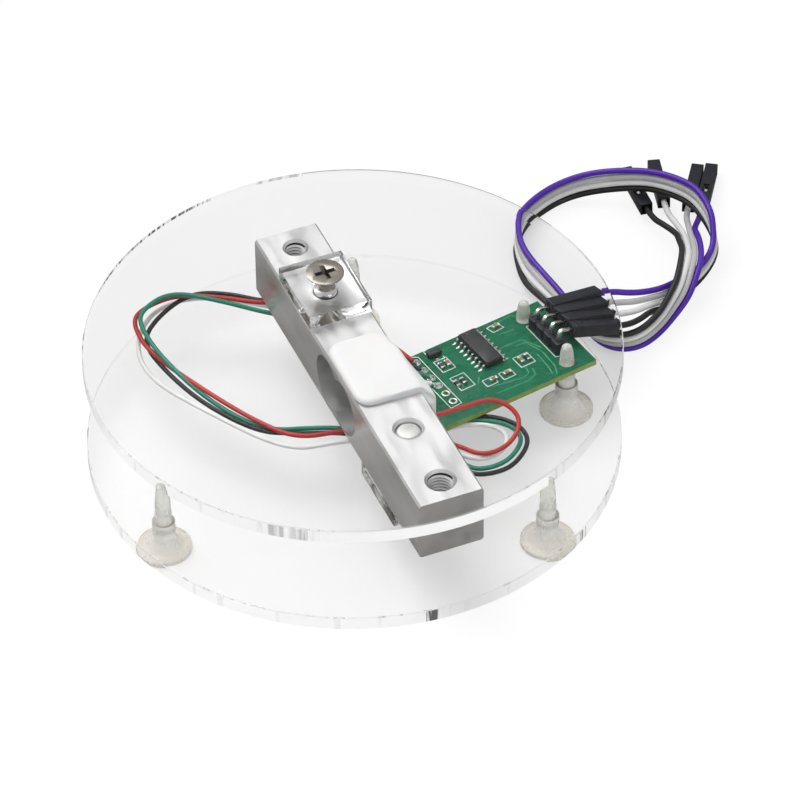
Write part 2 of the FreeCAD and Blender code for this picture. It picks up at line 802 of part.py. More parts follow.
def board_socket_frame(index):
    """Mouth point, heading and droop of a socket on the header."""
    x, y = on_board(-header_inset, pin_v(index))
    x += mouth_reach * math.cos(math.radians(socket_heading))
    y += mouth_reach * math.sin(math.radians(socket_heading))
    return V(x, y, board_top + mouth_height), socket_heading, socket_droops[index]


def free_socket_frame(colour):
    """Mouth point, heading and droop of a loose socket; its axis runs back to its wire."""
    x, y, height, heading = free_ends[colour]
    droop = -math.degrees(math.asin((height - free_tip_height) / socket_length))
    back = axis(heading + 180, droop)
    return V(x, y, height) - back * socket_length, heading + 180, droop


def in_frame(shape, frame):
    """A socket or contact placed by its mouth point, heading and droop."""
    mouth, heading, droop = frame
    return moved(shape, mouth.x, mouth.y, mouth.z, heading, droop)


def along(frame, distance):
    """Point on a socket's axis at a distance from its mouth."""
    mouth, heading, droop = frame
    return mouth + axis(heading, droop) * distance


def rounded_pad(x0, x1, y0, y1, z0, z1, corner, edge_round, top_face):
    """Pad with round corners and one softened face."""
    pad = box(x0, x1, y0, y1, z0, z1)
    uprights = [edge for edge in pad.Edges if abs(edge.BoundBox.ZLength - (z1 - z0)) < close]
    pad = pad.makeFillet(corner, uprights)
    level = z1 if top_face else z0
    rims = [
        edge for edge in pad.Edges
        if abs(edge.BoundBox.ZMin - level) < close and abs(edge.BoundBox.ZMax - level) < close
    ]
    return pad.makeFillet(edge_round, rims)


def gauge(y, under):
    """Foil gauge on its film over a thin wall, with two solder beads."""
    film = box(-gauge_width / 2, gauge_width / 2, -gauge_length / 2, gauge_length / 2,
               0, gauge_thickness)
    beads = [
        Part.makeCylinder(gauge_bead, gauge_bead_height, V(x, gauge_length / 2 - 2 * gauge_bead, 0))
        for x in (-gauge_width / 4, gauge_width / 4)
    ]
    piece = joined([film] + beads)
    if under:
        piece.rotate(V(0, 0, 0), V(1, 0, 0), 180)
    piece.translate(V(bar_x, y, bar_z if under else bar_top))
    return piece


def gauges(under):
    """One gauge over each bore of the window."""
    return [gauge(bar_y + side * window_spacing / 2, under) for side in (-1, 1)]


def silicone_cover(gauge_solids):
    """Cast silicone round three sides of the bar's middle, open at the left."""
    left = bar_x - bar_side / 2
    right = bar_x + bar_side / 2
    top_pad = rounded_pad(
        left + bar_edge_break, right - bar_edge_break, cover_near, cover_far, bar_top,
        bar_top + cover_thickness, cover_corner, cover_round, True,
    )
    under_pad = rounded_pad(
        left + 2 * cover_round, right - bar_edge_break, cover_near, cover_far,
        bar_z - cover_under, bar_z, cover_corner, cover_under / 2, False,
    )
    side = box(
        bar_x, right + cover_side, cover_side_near, cover_side_far,
        bar_z - cover_under, bar_top + cover_thickness,
    )
    side = side.makeFillet(cover_round, side.Edges)
    cover = joined([top_pad, under_pad, side])
    block_edge = lower_screw_y + block_length / 2 + cover_block_gap
    block_side = bar_x + block_width / 2 + cover_block_gap
    beside_block = box(bar_x, block_side, cover_side_near - overcut, block_edge, lower_plate_top, bar_z)
    return cover.cut([bar_envelope(), beside_block] + gauge_solids)


def cord(name, points, diameter):
    """Round cord along straight runs joined by arcs, each as large as its two runs allow."""
    corners = [V(*point) for point in points]
    edges = []
    radii = []
    start = corners[0]
    for before, corner, after in zip(corners, corners[1:], corners[2:]):
        into = (corner - before).normalize()
        out = (after - corner).normalize()
        half_turn = into.getAngle(out) / 2
        trim = arc_share * min(corner.distanceToPoint(before), corner.distanceToPoint(after))
        radius = trim / math.tan(half_turn)
        towards = (out - into).normalize()
        middle = corner + towards * (radius / math.cos(half_turn) - radius)
        entry = corner - into * trim
        leave = corner + out * trim
        edges.append(Part.LineSegment(start, entry).toShape())
        edges.append(Part.Arc(entry, middle, leave).toShape())
        radii.append(radius)
        start = leave
    edges.append(Part.LineSegment(start, corners[-1]).toShape())
    path = Part.Wire(edges)
    first = (corners[1] - corners[0]).normalize()
    ring = Part.Wire(Part.makeCircle(diameter / 2, corners[0], first))
    tube = path.makePipeShell([ring], True, False)
    share = tube.Volume / (math.pi * diameter ** 2 / 4 * path.Length)
    radii.sort()
    print(name, "length", round(path.Length, 1), "volume share", round(share, 4),
          "tightest radii", [round(radius, 1) for radius in radii[:3]])
    return tube


def jumper_route(index):
    """A jumper wire's points, from its board socket to its free one."""
    colour = jumper_colours[index]
    share = index / (len(jumper_colours) - 1)
    start = board_socket_frame(index)
    end = free_socket_frame(colour)
    points = [along(start, contact_end), along(start, contact_end + jumper_straight)]
    for edge, other in zip(ribbon_purple_edge, ribbon_black_edge):
        points.append(V(*edge) + (V(*other) - V(*edge)) * share)
    points += [V(*point) for point in jumper_tails[colour]]
    points += [along(end, contact_end + jumper_straight), along(end, contact_end)]
    return [(point.x, point.y, point.z) for point in points]


def build():
    """Write every sub-part."""
    os.makedirs("parts", exist_ok=True)
    all_posts = foot_places() + board_post_places()
    export("bottom_disc", [round_plate(
        lower_plate_z, lower_head, near_thread, False, lower_screw_y, all_posts)])
    export("top_disc", [round_plate(upper_plate_z, upper_head, far_thread, True, upper_screw_y, [])])
    export("lower_spacer_block", [spacer_block(lower_plate_top, lower_screw_y, near_thread)])
    export("upper_spacer_block", [spacer_block(bar_top, upper_screw_y, far_thread)])
    export("load_cell_bar", [load_cell_bar()])
    export("upper_screw", [upper_screw()])
    export("lower_screw", [lower_screw()])
    for name, place in zip(["foot_rear", "foot_left", "foot_right"], foot_places()):
        export(name, [moved(post(), *place)])
    for name, place in zip(["board_post_far", "board_post_near"], board_post_places()):
        export(name, [moved(post(), *place)])
    top_gauges = gauges(False)
    bottom_gauges = gauges(True)
    export("top_strain_gauges", top_gauges)
    export("bottom_strain_gauges", bottom_gauges)
    export("silicone_cover", [silicone_cover(top_gauges + bottom_gauges)])
    pins = [header_pin(i) for i in range(pin_count)]
    export("circuit_board", [circuit_board()])
    export("converter_chip", [converter_chip()])
    export("chip_leads", chip_leads())
    export("transistor", [transistor()])
    export("chip_resistors", [surface_part(*place) for place in resistor_places])
    export("chip_capacitors", [surface_part(*place) for place in capacitor_places])
    export("header_pins", pins)
    export("header_block", [header_block(pins)])
    export("solder_joints", solder_joints(pins))
    board_contacts = []
    free_contacts = []
    for i, colour in enumerate(jumper_colours):
        export("board_socket_" + colour, [in_frame(jumper_socket(), board_socket_frame(i))])
        export("free_socket_" + colour, [in_frame(jumper_socket(), free_socket_frame(colour))])
        board_contacts.append(in_frame(socket_contact(), board_socket_frame(i)))
        free_contacts.append(in_frame(socket_contact(), free_socket_frame(colour)))
        name = "jumper_wire_" + colour
        export(name, [cord(name, jumper_route(i), jumper_diameter)])
    export("board_contacts", board_contacts)
    export("free_contacts", free_contacts)
    for colour in pad_order:
        name = "lead_" + colour
        export(name, [cord(name, lead_route(colour), lead_diameter)])


build()
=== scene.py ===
import json
import math
from contextlib import contextmanager

import bpy
from mathutils import Matrix, Vector, noise

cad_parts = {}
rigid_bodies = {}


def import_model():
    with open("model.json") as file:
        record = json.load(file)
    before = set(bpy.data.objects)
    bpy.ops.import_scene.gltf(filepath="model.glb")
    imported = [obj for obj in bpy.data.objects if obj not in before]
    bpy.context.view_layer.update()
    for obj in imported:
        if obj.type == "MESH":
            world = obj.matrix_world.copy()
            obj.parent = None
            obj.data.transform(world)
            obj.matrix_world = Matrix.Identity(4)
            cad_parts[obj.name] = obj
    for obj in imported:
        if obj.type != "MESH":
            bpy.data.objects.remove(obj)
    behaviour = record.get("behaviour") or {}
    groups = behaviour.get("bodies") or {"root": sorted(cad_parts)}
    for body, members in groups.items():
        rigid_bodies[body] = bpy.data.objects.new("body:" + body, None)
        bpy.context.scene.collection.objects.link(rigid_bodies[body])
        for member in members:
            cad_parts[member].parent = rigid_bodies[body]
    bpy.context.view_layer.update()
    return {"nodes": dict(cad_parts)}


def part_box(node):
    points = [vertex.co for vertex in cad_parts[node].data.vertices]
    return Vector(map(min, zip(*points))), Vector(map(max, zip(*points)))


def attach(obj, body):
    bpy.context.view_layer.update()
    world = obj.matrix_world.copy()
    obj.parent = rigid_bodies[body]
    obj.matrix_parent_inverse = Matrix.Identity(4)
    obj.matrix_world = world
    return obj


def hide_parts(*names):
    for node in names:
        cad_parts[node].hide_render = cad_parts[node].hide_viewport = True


bl_info = {
    "name": "Load cell between clear plates",
    "version": (1, 0, 0),
    "blender": (4, 5, 0),
    "location": "3D View > Sidebar > Load cell",
    "description": "Gives the packed load cell its finishes, threads, board print and wires",
    "category": "Object",
}

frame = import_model()

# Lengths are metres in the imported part's frame. Values written in millimetres take this factor.
MM = 0.001

# A node's copy is welded within this distance, and its faces joined where flat within this angle
WELD = 0.002 * MM
FLAT_WITHIN = math.radians(0.5)

# Depth of the fine bumps
BUMP_DEPTH = 0.02 * MM


def box_middle(node):
    """Middle of a node's box."""
    low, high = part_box(node)
    return (low + high) / 2


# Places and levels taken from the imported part
bar_low, bar_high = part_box("load_cell_bar")
bar_middle = box_middle("load_cell_bar")
board_middle = box_middle("circuit_board")
board_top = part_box("circuit_board")[1].z

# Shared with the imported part's source
board_turn = math.radians(10.0)
board_half_length = 17.0 * MM
outer_hole_offset = 35.0 * MM
thread_pitch = 0.75 * MM
pin_pitch = 2.54 * MM
socket_heading = math.radians(21.0)
socket_droops = [math.radians(droop) for droop in (20.0, 23.0, 26.0, 29.0)]
header_inset = 4.4 * MM
mouth_reach = 3.25 * MM
mouth_height = 3.2 * MM
socket_length = 14.0 * MM
contact_end = 12.0 * MM
jumper_straight = 5.2 * MM
free_tip_height = 1.35 * MM
jumper_colours = ["purple", "grey", "white", "black"]
lead_colours = ["red", "black", "green", "white"]

# Routes in millimetres. The ribbon is given by its purple and black edges; the grey and white
# wires lie a third and two thirds of the way between them.
ribbon_purple_edge = [
    (64.2, 16.3, 8.4), (68.8, 16.7, 7.0), (73.0, 18.4, 5.4), (77.8, 20.4, 4.7),
    (82.0, 21.8, 4.8), (85.9, 25.2, 5.2), (87.4, 28.2, 7.0), (88.4, 31.5, 9.0),
    (88.4, 37.4, 9.8), (86.8, 41.1, 9.8), (84.1, 45.2, 9.4), (79.9, 49.2, 8.6),
    (72.8, 54.7, 6.0), (65.4, 55.2, 4.9), (58.6, 52.2, 4.9), (54.9, 48.9, 4.9),
    (53.3, 45.0, 4.9), (52.2, 41.2, 5.1), (52.2, 37.0, 4.9), (52.9, 32.4, 4.6),
    (54.2, 26.5, 3.7), (55.2, 19.5, 2.2), (56.0, 13.8, 1.0), (58.8, 10.2, 0.7),
    (63.2, 9.2, 0.7), (67.8, 10.8, 1.0), (72.6, 13.6, 2.0), (76.3, 15.4, 4.0),
    (79.3, 18.3, 6.4), (81.9, 21.9, 6.9), (83.5, 25.8, 6.6), (84.6, 29.5, 5.8),
]
ribbon_black_edge = [
    (63.6, 10.6, 6.5), (67.3, 13.5, 5.0), (71.3, 15.6, 2.6), (77.0, 19.6, 0.7),
    (82.4, 22.6, 0.7), (87.2, 26.6, 1.2), (88.5, 29.3, 3.0), (88.3, 33.3, 4.8),
    (87.5, 38.1, 5.6), (85.7, 41.9, 5.6), (82.9, 45.7, 5.2), (79.8, 48.8, 4.4),
    (72.5, 53.9, 1.8), (66.4, 54.7, 0.8), (60.3, 52.3, 0.9), (56.5, 49.9, 1.0),
    (52.7, 45.2, 1.0), (51.4, 41.2, 1.1), (50.3, 37.0, 1.4), (49.6, 32.4, 2.4),
    (50.1, 26.5, 3.7), (51.5, 19.6, 4.2), (54.3, 12.8, 4.8), (58.6, 9.5, 4.9),
    (63.1, 9.2, 4.9), (68.3, 11.7, 5.7), (71.8, 15.0, 6.2), (74.6, 17.6, 7.2),
    (77.3, 21.6, 7.8), (79.4, 25.3, 7.4), (80.2, 28.6, 6.6), (81.2, 31.8, 5.4),
]

# Each wire's own points past the split, and its free socket: the place of the end that the wire
# enters, and the heading in degrees towards the open mouth
jumper_tails = {
    "purple": [(85.4, 32.6, 4.4), (86.8, 34.8, 3.4)],
    "grey": [(84.9, 34.6, 4.6)],
    "white": [(82.8, 36.2, 4.5)],
    "black": [(80.4, 36.0, 4.6)],
}
free_ends = {
    "purple": (90.4, 39.6, 2.8, 57.0),
    "grey": (87.8, 40.6, 3.0, 57.0),
    "white": (84.0, 43.6, 3.0, 74.0),
    "black": (80.1, 43.3, 3.0, 83.0),
}

# The leads' points up to the board
lead_routes = {
    "red": [
        (11.3, -9.3, 17.0), (14.2, -9.3, 17.0), (19.3, -8.9, 16.6), (24.0, -8.1, 16.0),
        (27.0, -9.9, 15.0), (28.3, -13.0, 13.4), (25.6, -16.2, 12.1), (21.4, -17.8, 11.7),
        (17.8, -17.0, 11.7), (15.6, -13.4, 11.6), (9.4, -6.9, 11.5), (3.5, -3.2, 11.5),
        (-2.4, -0.9, 11.5), (-11.3, 0.5, 11.5), (-16.2, 7.4, 11.5), (-20.8, 16.3, 11.5),
        (-28.3, 32.4, 12.3), (-28.5, 41.3, 12.4), (-25.9, 44.9, 12.4), (-17.7, 46.4, 12.4),
        (-9.6, 41.9, 12.4), (-3.1, 37.0, 12.4), (6.0, 35.0, 12.4), (12.2, 29.5, 12.3),
        (12.9, 20.5, 11.8),
    ],
    "black": [
        (11.3, -5.2, 13.6), (12.6, -5.2, 13.6), (13.7, -4.9, 10.5), (16.6, -4.6, 10.45),
        (20.8, -5.4, 10.5), (25.8, -7.8, 10.5), (28.8, -11.8, 10.5), (28.6, -16.6, 10.5),
        (23.6, -21.1, 10.5), (19.3, -21.8, 10.5), (15.0, -20.5, 10.5), (12.3, -14.9, 10.5),
        (8.9, -9.5, 10.5), (2.8, -4.3, 10.5), (-2.2, -0.4, 10.5), (-11.2, 3.1, 10.5),
        (-17.1, 6.3, 10.5), (-23.4, 17.1, 10.5), (-26.9, 27.7, 11.0), (-28.3, 37.4, 11.5),
        (-22.1, 43.3, 11.5), (-14.4, 46.6, 11.5), (-7.8, 43.4, 11.5), (-2.5, 38.6, 11.45),
        (5.0, 35.5, 11.45), (10.8, 29.0, 11.45), (11.9, 20.5, 11.2),
    ],
    "green": [
        (11.3, -6.6, 13.6), (12.6, -6.6, 13.6), (13.7, -6.3, 10.5), (16.6, -5.8, 10.45),
        (20.5, -6.6, 10.5), (25.0, -8.7, 10.5), (27.6, -12.0, 10.5), (27.6, -15.6, 10.5),
        (23.4, -19.4, 10.5), (19.0, -20.2, 10.5), (15.6, -19.0, 10.5), (13.6, -13.9, 10.5),
        (9.3, -8.4, 10.5), (3.2, -2.9, 10.5), (-2.2, 1.0, 10.5), (-8.0, 3.4, 10.5),
        (-13.7, 5.2, 10.5), (-17.7, 8.9, 10.5), (-22.7, 18.9, 10.5), (-27.2, 30.2, 13.3),
        (-27.7, 39.7, 13.5), (-25.8, 43.6, 13.5), (-18.9, 46.4, 13.5), (-11.5, 41.0, 13.2),
        (-2.3, 34.3, 11.6), (4.0, 30.0, 11.6), (9.6, 25.5, 11.6), (10.9, 20.5, 11.2),
        (11.1, 16.5, 12.4),
    ],
    "white": [
        (11.3, -8.2, 13.6), (12.7, -8.2, 13.6), (14.0, -7.8, 10.5), (16.6, -7.0, 10.45),
        (20.6, -7.7, 10.5), (24.2, -9.8, 10.5), (25.6, -13.2, 10.5), (23.5, -16.6, 10.5),
        (19.0, -17.9, 10.6), (15.4, -16.4, 11.5), (12.3, -12.0, 11.5), (5.5, -7.2, 11.5),
        (-2.1, -3.9, 11.5), (-7.0, -2.7, 11.2), (-11.7, -1.2, 10.5), (-16.6, 3.3, 10.5),
        (-23.7, 15.2, 10.5), (-30.1, 27.1, 10.5), (-29.9, 36.7, 10.5), (-24.7, 44.4, 10.5),
        (-17.5, 47.0, 10.5), (-9.5, 44.2, 10.5), (-3.4, 39.2, 10.5), (3.0, 34.0, 10.5),
        (8.5, 27.5, 10.5), (9.95, 20.5, 10.5), (10.1, 16.0, 12.2),
    ],
}

# Their last points lie over the board: from its left edge, from its middle line and over its top
lead_landings = {
    "red": [
        (2.86, 15.14, 0.8), (3.04, 12.16, 1.8), (3.55, 9.84, 1.6), (4.26, 7.83, 1.0),
    ],
    "black": [
        (1.72, 15.03, 0.2), (1.8, 11.47, 1.7), (2.45, 8.2, 1.8), (4.1, 4.92, 1.0),
    ],
    "green": [
        (0.55, 11.28, 1.7), (1.01, 7.54, 1.9), (2.47, 4.34, 1.6), (4.38, 2.48, 1.0),
    ],
    "white": [
        (-0.67, 10.68, 1.6), (-0.12, 6.32, 1.9), (1.59, 1.65, 1.7), (3.77, 0.76, 0.9),
    ],
}


def on_board(u, v, height=0.0):
    """Point over the board: u from its right edge, v from its middle line, in metres."""
    along = u + board_half_length
    x = board_middle.x + along * math.cos(board_turn) - v * math.sin(board_turn)
    y = board_middle.y + along * math.sin(board_turn) + v * math.cos(board_turn)
    return Vector((x, y, board_top + height))


def on_board_mm(points):
    """Points on the board from (u, v) pairs in millimetres."""
    return [on_board(u * MM, v * MM) for u, v in points]


# Selection and editing


def only(piece):
    """Select one object alone and make it the active one."""
    bpy.ops.object.select_all(action="DESELECT")
    piece.select_set(True)
    bpy.context.view_layer.objects.active = piece


@contextmanager
def editing(piece):
    """Edit mode on one object, with all of its mesh selected."""
    only(piece)
    bpy.ops.object.mode_set(mode="EDIT")
    bpy.ops.mesh.select_all(action="SELECT")
    yield
    bpy.ops.object.mode_set(mode="OBJECT")


def fresh(name):
    """The primitive that was just added, named, at the origin with its place in its mesh."""
    piece = bpy.context.active_object
    piece.name = name
    only(piece)
    bpy.ops.object.transform_apply(location=True, rotation=True, scale=True)
    return piece


def placed(name, data):
    """New object in the scene, at the origin."""
    piece = bpy.data.objects.new(name, data)
    bpy.context.scene.collection.objects.link(piece)
    return piece


def joined(name, pieces):
    """One object from several."""
    bpy.ops.object.select_all(action="DESELECT")
    for piece in pieces:
        piece.select_set(True)
    bpy.context.view_layer.objects.active = pieces[0]
    if len(pieces) > 1:
        bpy.ops.object.join()
    pieces[0].name = name
    return pieces[0]


def modified(piece, name, kind, **values):
    """Add a modifier with its values and apply it."""
    only(piece)
    modifier = piece.modifiers.new(name, kind)
    for key, value in values.items():
        setattr(modifier, key, value)
    bpy.ops.object.modifier_apply(modifier=modifier.name)


def bevelled(piece, width):
    """Break the sharp edges."""
    modified(
        piece, "broken edges", "BEVEL", width=width, segments=2, limit_method="ANGLE",
        angle_limit=math.radians(40.0), use_clamp_overlap=True,
    )


def smoothed(piece, angle=35.0):
    """Smooth shading with edges over an angle left sharp."""
    only(piece)
    bpy.ops.object.shade_smooth_by_angle(angle=math.radians(angle))


def squeezed(piece, share, middle):
    """Take a piece's height to a share of itself, about a point."""
    with editing(piece):
        bpy.ops.transform.resize(value=(1.0, 1.0, share), center_override=middle)


def round_curve(name, kind, points, diameter, resolution):
    """A closed-ended round curve of one spline along points."""
    curve = bpy.data.curves.new(name, "CURVE")
    curve.dimensions = "3D"
    curve.bevel_depth = diameter / 2
    curve.bevel_resolution = resolution
    curve.use_fill_caps = True
    spline = curve.splines.new(kind)
    spline.points.add(len(points) - 1)
    for point, place in zip(spline.points, points):
        point.co = (*place, 1.0)
    return placed(name, curve)


def node_copy(node, name):
    """A node's shape as one clean shell with large flat faces, ready to be finished."""
    piece = placed(name, frame["nodes"][node].data.copy())
    piece.data.materials.clear()
    only(piece)
    bpy.ops.mesh.customdata_custom_splitnormals_clear()
    with editing(piece):
        bpy.ops.mesh.remove_doubles(threshold=WELD)
        bpy.ops.mesh.dissolve_limited(angle_limit=FLAT_WITHIN)
    return piece


def coated(piece, finishes):
    """Give a piece its materials."""
    piece.data.materials.clear()
    for finish in finishes:
        piece.data.materials.append(finish.material)


def handed_over(piece, slot, finishes, *nodes):
    """Give a finished piece its materials and body, and hide the nodes that it stands for; its slot
    is not used.
    """
    coated(piece, finishes)
    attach(piece, "root")
    if nodes:
        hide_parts(*nodes)
    return piece


def dressed(node, slot, finishes, edge=0.0, angle=35.0, ending="_dressed"):
    """Stand in for a node with its own shape, its edges broken and smoothly shaded."""
    piece = node_copy(node, node + ending)
    if edge:
        bevelled(piece, edge)
    smoothed(piece, angle)
    return handed_over(piece, slot, finishes, node)


def paint_faces(piece, finish, chosen):
    """Use another of the piece's materials on the faces that a test picks."""
    index = piece.data.materials.find(finish.material.name)
    for face in piece.data.polygons:
        if chosen(face):
            face.material_index = index


# Shared shader effects


def fed(tree, socket, value):
    """Link another node's output into a socket, or set it to a constant."""
    if isinstance(value, bpy.types.NodeSocket):
        tree.links.new(value, socket)
    else:
        socket.default_value = value


def colour_mix(tree, share, first, second):
    """Mix two colours, each a constant or a node's output, by a share."""
    mix = tree.nodes.new("ShaderNodeMix")
    mix.data_type = "RGBA"
    fed(tree, mix.inputs["Factor"], share)
    fed(tree, mix.inputs[6], first)
    fed(tree, mix.inputs[7], second)
    return mix.outputs[2]


def product(tree, first, second):
    """Two values multiplied and kept between nought and one."""
    node = tree.nodes.new("ShaderNodeMath")
    node.operation = "MULTIPLY"
    node.use_clamp = True
    fed(tree, node.inputs[0], first)
    fed(tree, node.inputs[1], second)
    return node.outputs["Value"]


def effect(name, inputs, output):
    """Empty node group with named inputs and one output; returns its tree and end nodes."""
    tree = bpy.data.node_groups.new(name, "ShaderNodeTree")
    shared = [("Vector", "NodeSocketVector", None), ("Scale", "NodeSocketFloat", 500.0)]
    for label, kind, value in shared + inputs:
        socket = tree.interface.new_socket(name=label, in_out="INPUT", socket_type=kind)
        if value is not None:
            socket.default_value = value
    tree.interface.new_socket(name=output[0], in_out="OUTPUT", socket_type=output[1])
    return tree, tree.nodes.new("NodeGroupInput"), tree.nodes.new("NodeGroupOutput")


def noise_mask(tree, start, low, high):
    """Noise from a group's Vector and Scale, spread between two limits."""
    texture = tree.nodes.new("ShaderNodeTexNoise")
    texture.inputs["Detail"].default_value = 1.0
    tree.links.new(start.outputs["Vector"], texture.inputs["Vector"])
    tree.links.new(start.outputs["Scale"], texture.inputs["Scale"])
    spread = tree.nodes.new("ShaderNodeMapRange")
    spread.interpolation_type = "SMOOTHSTEP"
    spread.inputs["From Min"].default_value = low
    spread.inputs["From Max"].default_value = high
    tree.links.new(texture.outputs["Fac"], spread.inputs["Value"])
    return spread


def patchy_colour():
    """Two colours mixed in soft patches."""
    tree, start, end = effect(
        "patchy colour",
        [("Base", "NodeSocketColor", None), ("Patch", "NodeSocketColor", None)],
        ("Colour", "NodeSocketColor"),
    )
    mask = noise_mask(tree, start, low=0.2, high=0.8).outputs["Result"]
    mixed = colour_mix(tree, mask, start.outputs["Base"], start.outputs["Patch"])
    tree.links.new(mixed, end.inputs["Colour"])
    return tree


def uneven_value():
    """A value that wanders between a low and a high one."""
    tree, start, end = effect(
        "uneven value",
        [("Low", "NodeSocketFloat", 0.0), ("High", "NodeSocketFloat", 1.0)],
        ("Value", "NodeSocketFloat"),
    )
    spread = noise_mask(tree, start, low=0.25, high=0.75)
    tree.links.new(start.outputs["Low"], spread.inputs["To Min"])
    tree.links.new(start.outputs["High"], spread.inputs["To Max"])
    tree.links.new(spread.outputs["Result"], end.inputs["Value"])
    return tree


def fine_relief():
    """A fine bumpy normal."""
    tree, start, end = effect(
        "fine relief",
        [("Strength", "NodeSocketFloat", 0.2), ("Depth", "NodeSocketFloat", BUMP_DEPTH)],
        ("Normal", "NodeSocketVector"),
    )
    mask = noise_mask(tree, start, low=0.25, high=0.75)
    bump = tree.nodes.new("ShaderNodeBump")
    tree.links.new(start.outputs["Strength"], bump.inputs["Strength"])
    tree.links.new(start.outputs["Depth"], bump.inputs["Distance"])
    tree.links.new(mask.outputs["Result"], bump.inputs["Height"])
    tree.links.new(bump.outputs["Normal"], end.inputs["Normal"])
    return tree


EFFECTS = {"colour": patchy_colour(), "value": uneven_value(), "relief": fine_relief()}


class Finish:
    """A material in the making: its tree, its surface shader and its stretched coordinates."""

    def __init__(self, name, stretch=(1.0, 1.0, 1.0)):
        self.material = bpy.data.materials.new(name)
        self.material.use_nodes = True
        self.tree = self.material.node_tree
        self.surface = self.tree.nodes["Principled BSDF"]
        place = self.tree.nodes.new("ShaderNodeTexCoord")
        mapping = self.tree.nodes.new("ShaderNodeMapping")
        mapping.inputs["Scale"].default_value = stretch
        self.tree.links.new(place.outputs["Object"], mapping.inputs["Vector"])
        self.vector = mapping.outputs["Vector"]

    def set(self, **values):
        """Set plain sockets of the surface shader; underscores stand for spaces."""
        for key, value in values.items():
            self.surface.inputs[key.replace("_", " ")].default_value = value
        return self

    def feed(self, label, source):
        """Link another node's output into the surface shader."""
        self.tree.links.new(source, self.surface.inputs[label])
        return self

    def effect(self, kind, **values):
        """Place a shared effect with its own values."""
        node = self.tree.nodes.new("ShaderNodeGroup")
        node.node_tree = EFFECTS[kind]
        self.tree.links.new(self.vector, node.inputs["Vector"])
        for key, value in values.items():
            node.inputs[key].default_value = value
        return node.outputs[0]

    def colour(self, base, patch, scale):
        """Base colour with patches of another."""
        mixed = self.effect("colour", Base=(*base, 1.0), Patch=(*patch, 1.0), Scale=scale)
        return self.feed("Base Color", mixed)

    def roughness(self, rough, scale):
        """Roughness that wanders between two values."""
        low, high = rough
        return self.feed("Roughness", self.effect("value", Low=low, High=high, Scale=scale))

    def relief(self, scale, strength):
        """Fine bumps."""
        bumps = self.effect("relief", Scale=scale, Strength=strength, Depth=BUMP_DEPTH)
        return self.feed("Normal", bumps)

    def mixed_with(self, other, share):
        """Mix another shader into what the surface shows so far."""
        surface = self.tree.nodes["Material Output"].inputs["Surface"]
        mix = self.tree.nodes.new("ShaderNodeMixShader")
        self.tree.links.new(share, mix.inputs["Fac"])
        self.tree.links.new(surface.links[0].from_socket, mix.inputs[1])
        self.tree.links.new(other, mix.inputs[2])
        self.tree.links.new(mix.outputs["Shader"], surface)
        return self

    def see_through(self, share, colour=(1.0, 1.0, 1.0)):
        """Let light straight through, tinted."""
        through = self.tree.nodes.new("ShaderNodeBsdfTransparent")
        through.inputs["Color"].default_value = (*colour, 1.0)
        return self.mixed_with(through.outputs["BSDF"], share)

    def clear_shadow(self, colour):
        """Let shadow rays straight through, tinted."""
        path = self.tree.nodes.new("ShaderNodeLightPath")
        return self.see_through(path.outputs["Is Shadow Ray"], colour)

    def unseen_from_inside(self):
        """Let the face vanish where it is seen through the piece, from its inner side."""
        facing = self.tree.nodes.new("ShaderNodeNewGeometry")
        return self.see_through(facing.outputs["Backfacing"])


def darker(colour, share):
    """The colour times a share."""
    return tuple(part * share for part in colour[:3])


# How much finer than a finish's patches of colour its polish and its bumps are
METAL_POLISH, METAL_BUMPS = 2.3, 6.0
PLASTIC_POLISH, PLASTIC_BUMPS = 2.0, 5.0


def metal(name, colour, rough, scale, grain=0.15, patch=0.92, stretch=(1.0, 1.0, 1.0)):
    """A bare or plated metal with uneven polish and fine grain."""
    finish = Finish(name, stretch)
    finish.colour(colour[:3], darker(colour, patch), scale)
    finish.roughness(rough, scale * METAL_POLISH)
    finish.relief(scale * METAL_BUMPS, grain)
    return finish.set(Metallic=1.0)


def plastic(name, colour, rough, scale, grain=0.12, patch=0.9):
    """A moulded plastic or rubber with slight mottling."""
    finish = Finish(name)
    finish.colour(colour[:3], darker(colour, patch), scale)
    finish.roughness(rough, scale * PLASTIC_POLISH)
    return finish.relief(scale * PLASTIC_BUMPS, grain)


# Settings that a user would change


def colour_property(name, about, default):
    """Colour setting."""
    return bpy.props.FloatVectorProperty(
        name=name, description=about, subtype="COLOR", default=default, min=0.0, max=1.0)


def length_property(name, about, default):
    """Length setting, in metres."""
    return bpy.props.FloatProperty(
        name=name, description=about, unit="LENGTH", default=default, min=0.0, precision=5)


def angle_property(name, about, degrees):
    """Angle setting."""
    return bpy.props.FloatProperty(
        name=name, description=about, unit="ROTATION", default=math.radians(degrees))


def number_property(name, about, default):
    """Setting with no unit."""
    return bpy.props.FloatProperty(name=name, description=about, default=default)


def place_property(name, about, default):
    """Place setting, in metres."""
    return bpy.props.FloatVectorProperty(
        name=name, description=about, subtype="TRANSLATION", default=default)


class PlateSettings(bpy.types.PropertyGroup):
    """The clear plates and blocks."""

    tint: colour_property("Tint", "What the clear plates let through", (0.985, 0.985, 0.985))
    rim: colour_property("Rim", "What the plates' rims let through", (0.96, 0.96, 0.96))
    shade: colour_property("Shade", "What the plates let through onto the floor", (0.82, 0.82, 0.82))
    # Painted light: the near rim of the top plate glows by its own emission, standing in for light
    # piped through the plate
    painted_rim_glow: number_property("Rim glow", "Light piped to the near rim of the top plate", 0.3)
    glow_from: angle_property("Glow from", "Where the bright rim starts", 241.0)
    glow_to: angle_property("Glow to", "Where the bright rim ends", 292.0)


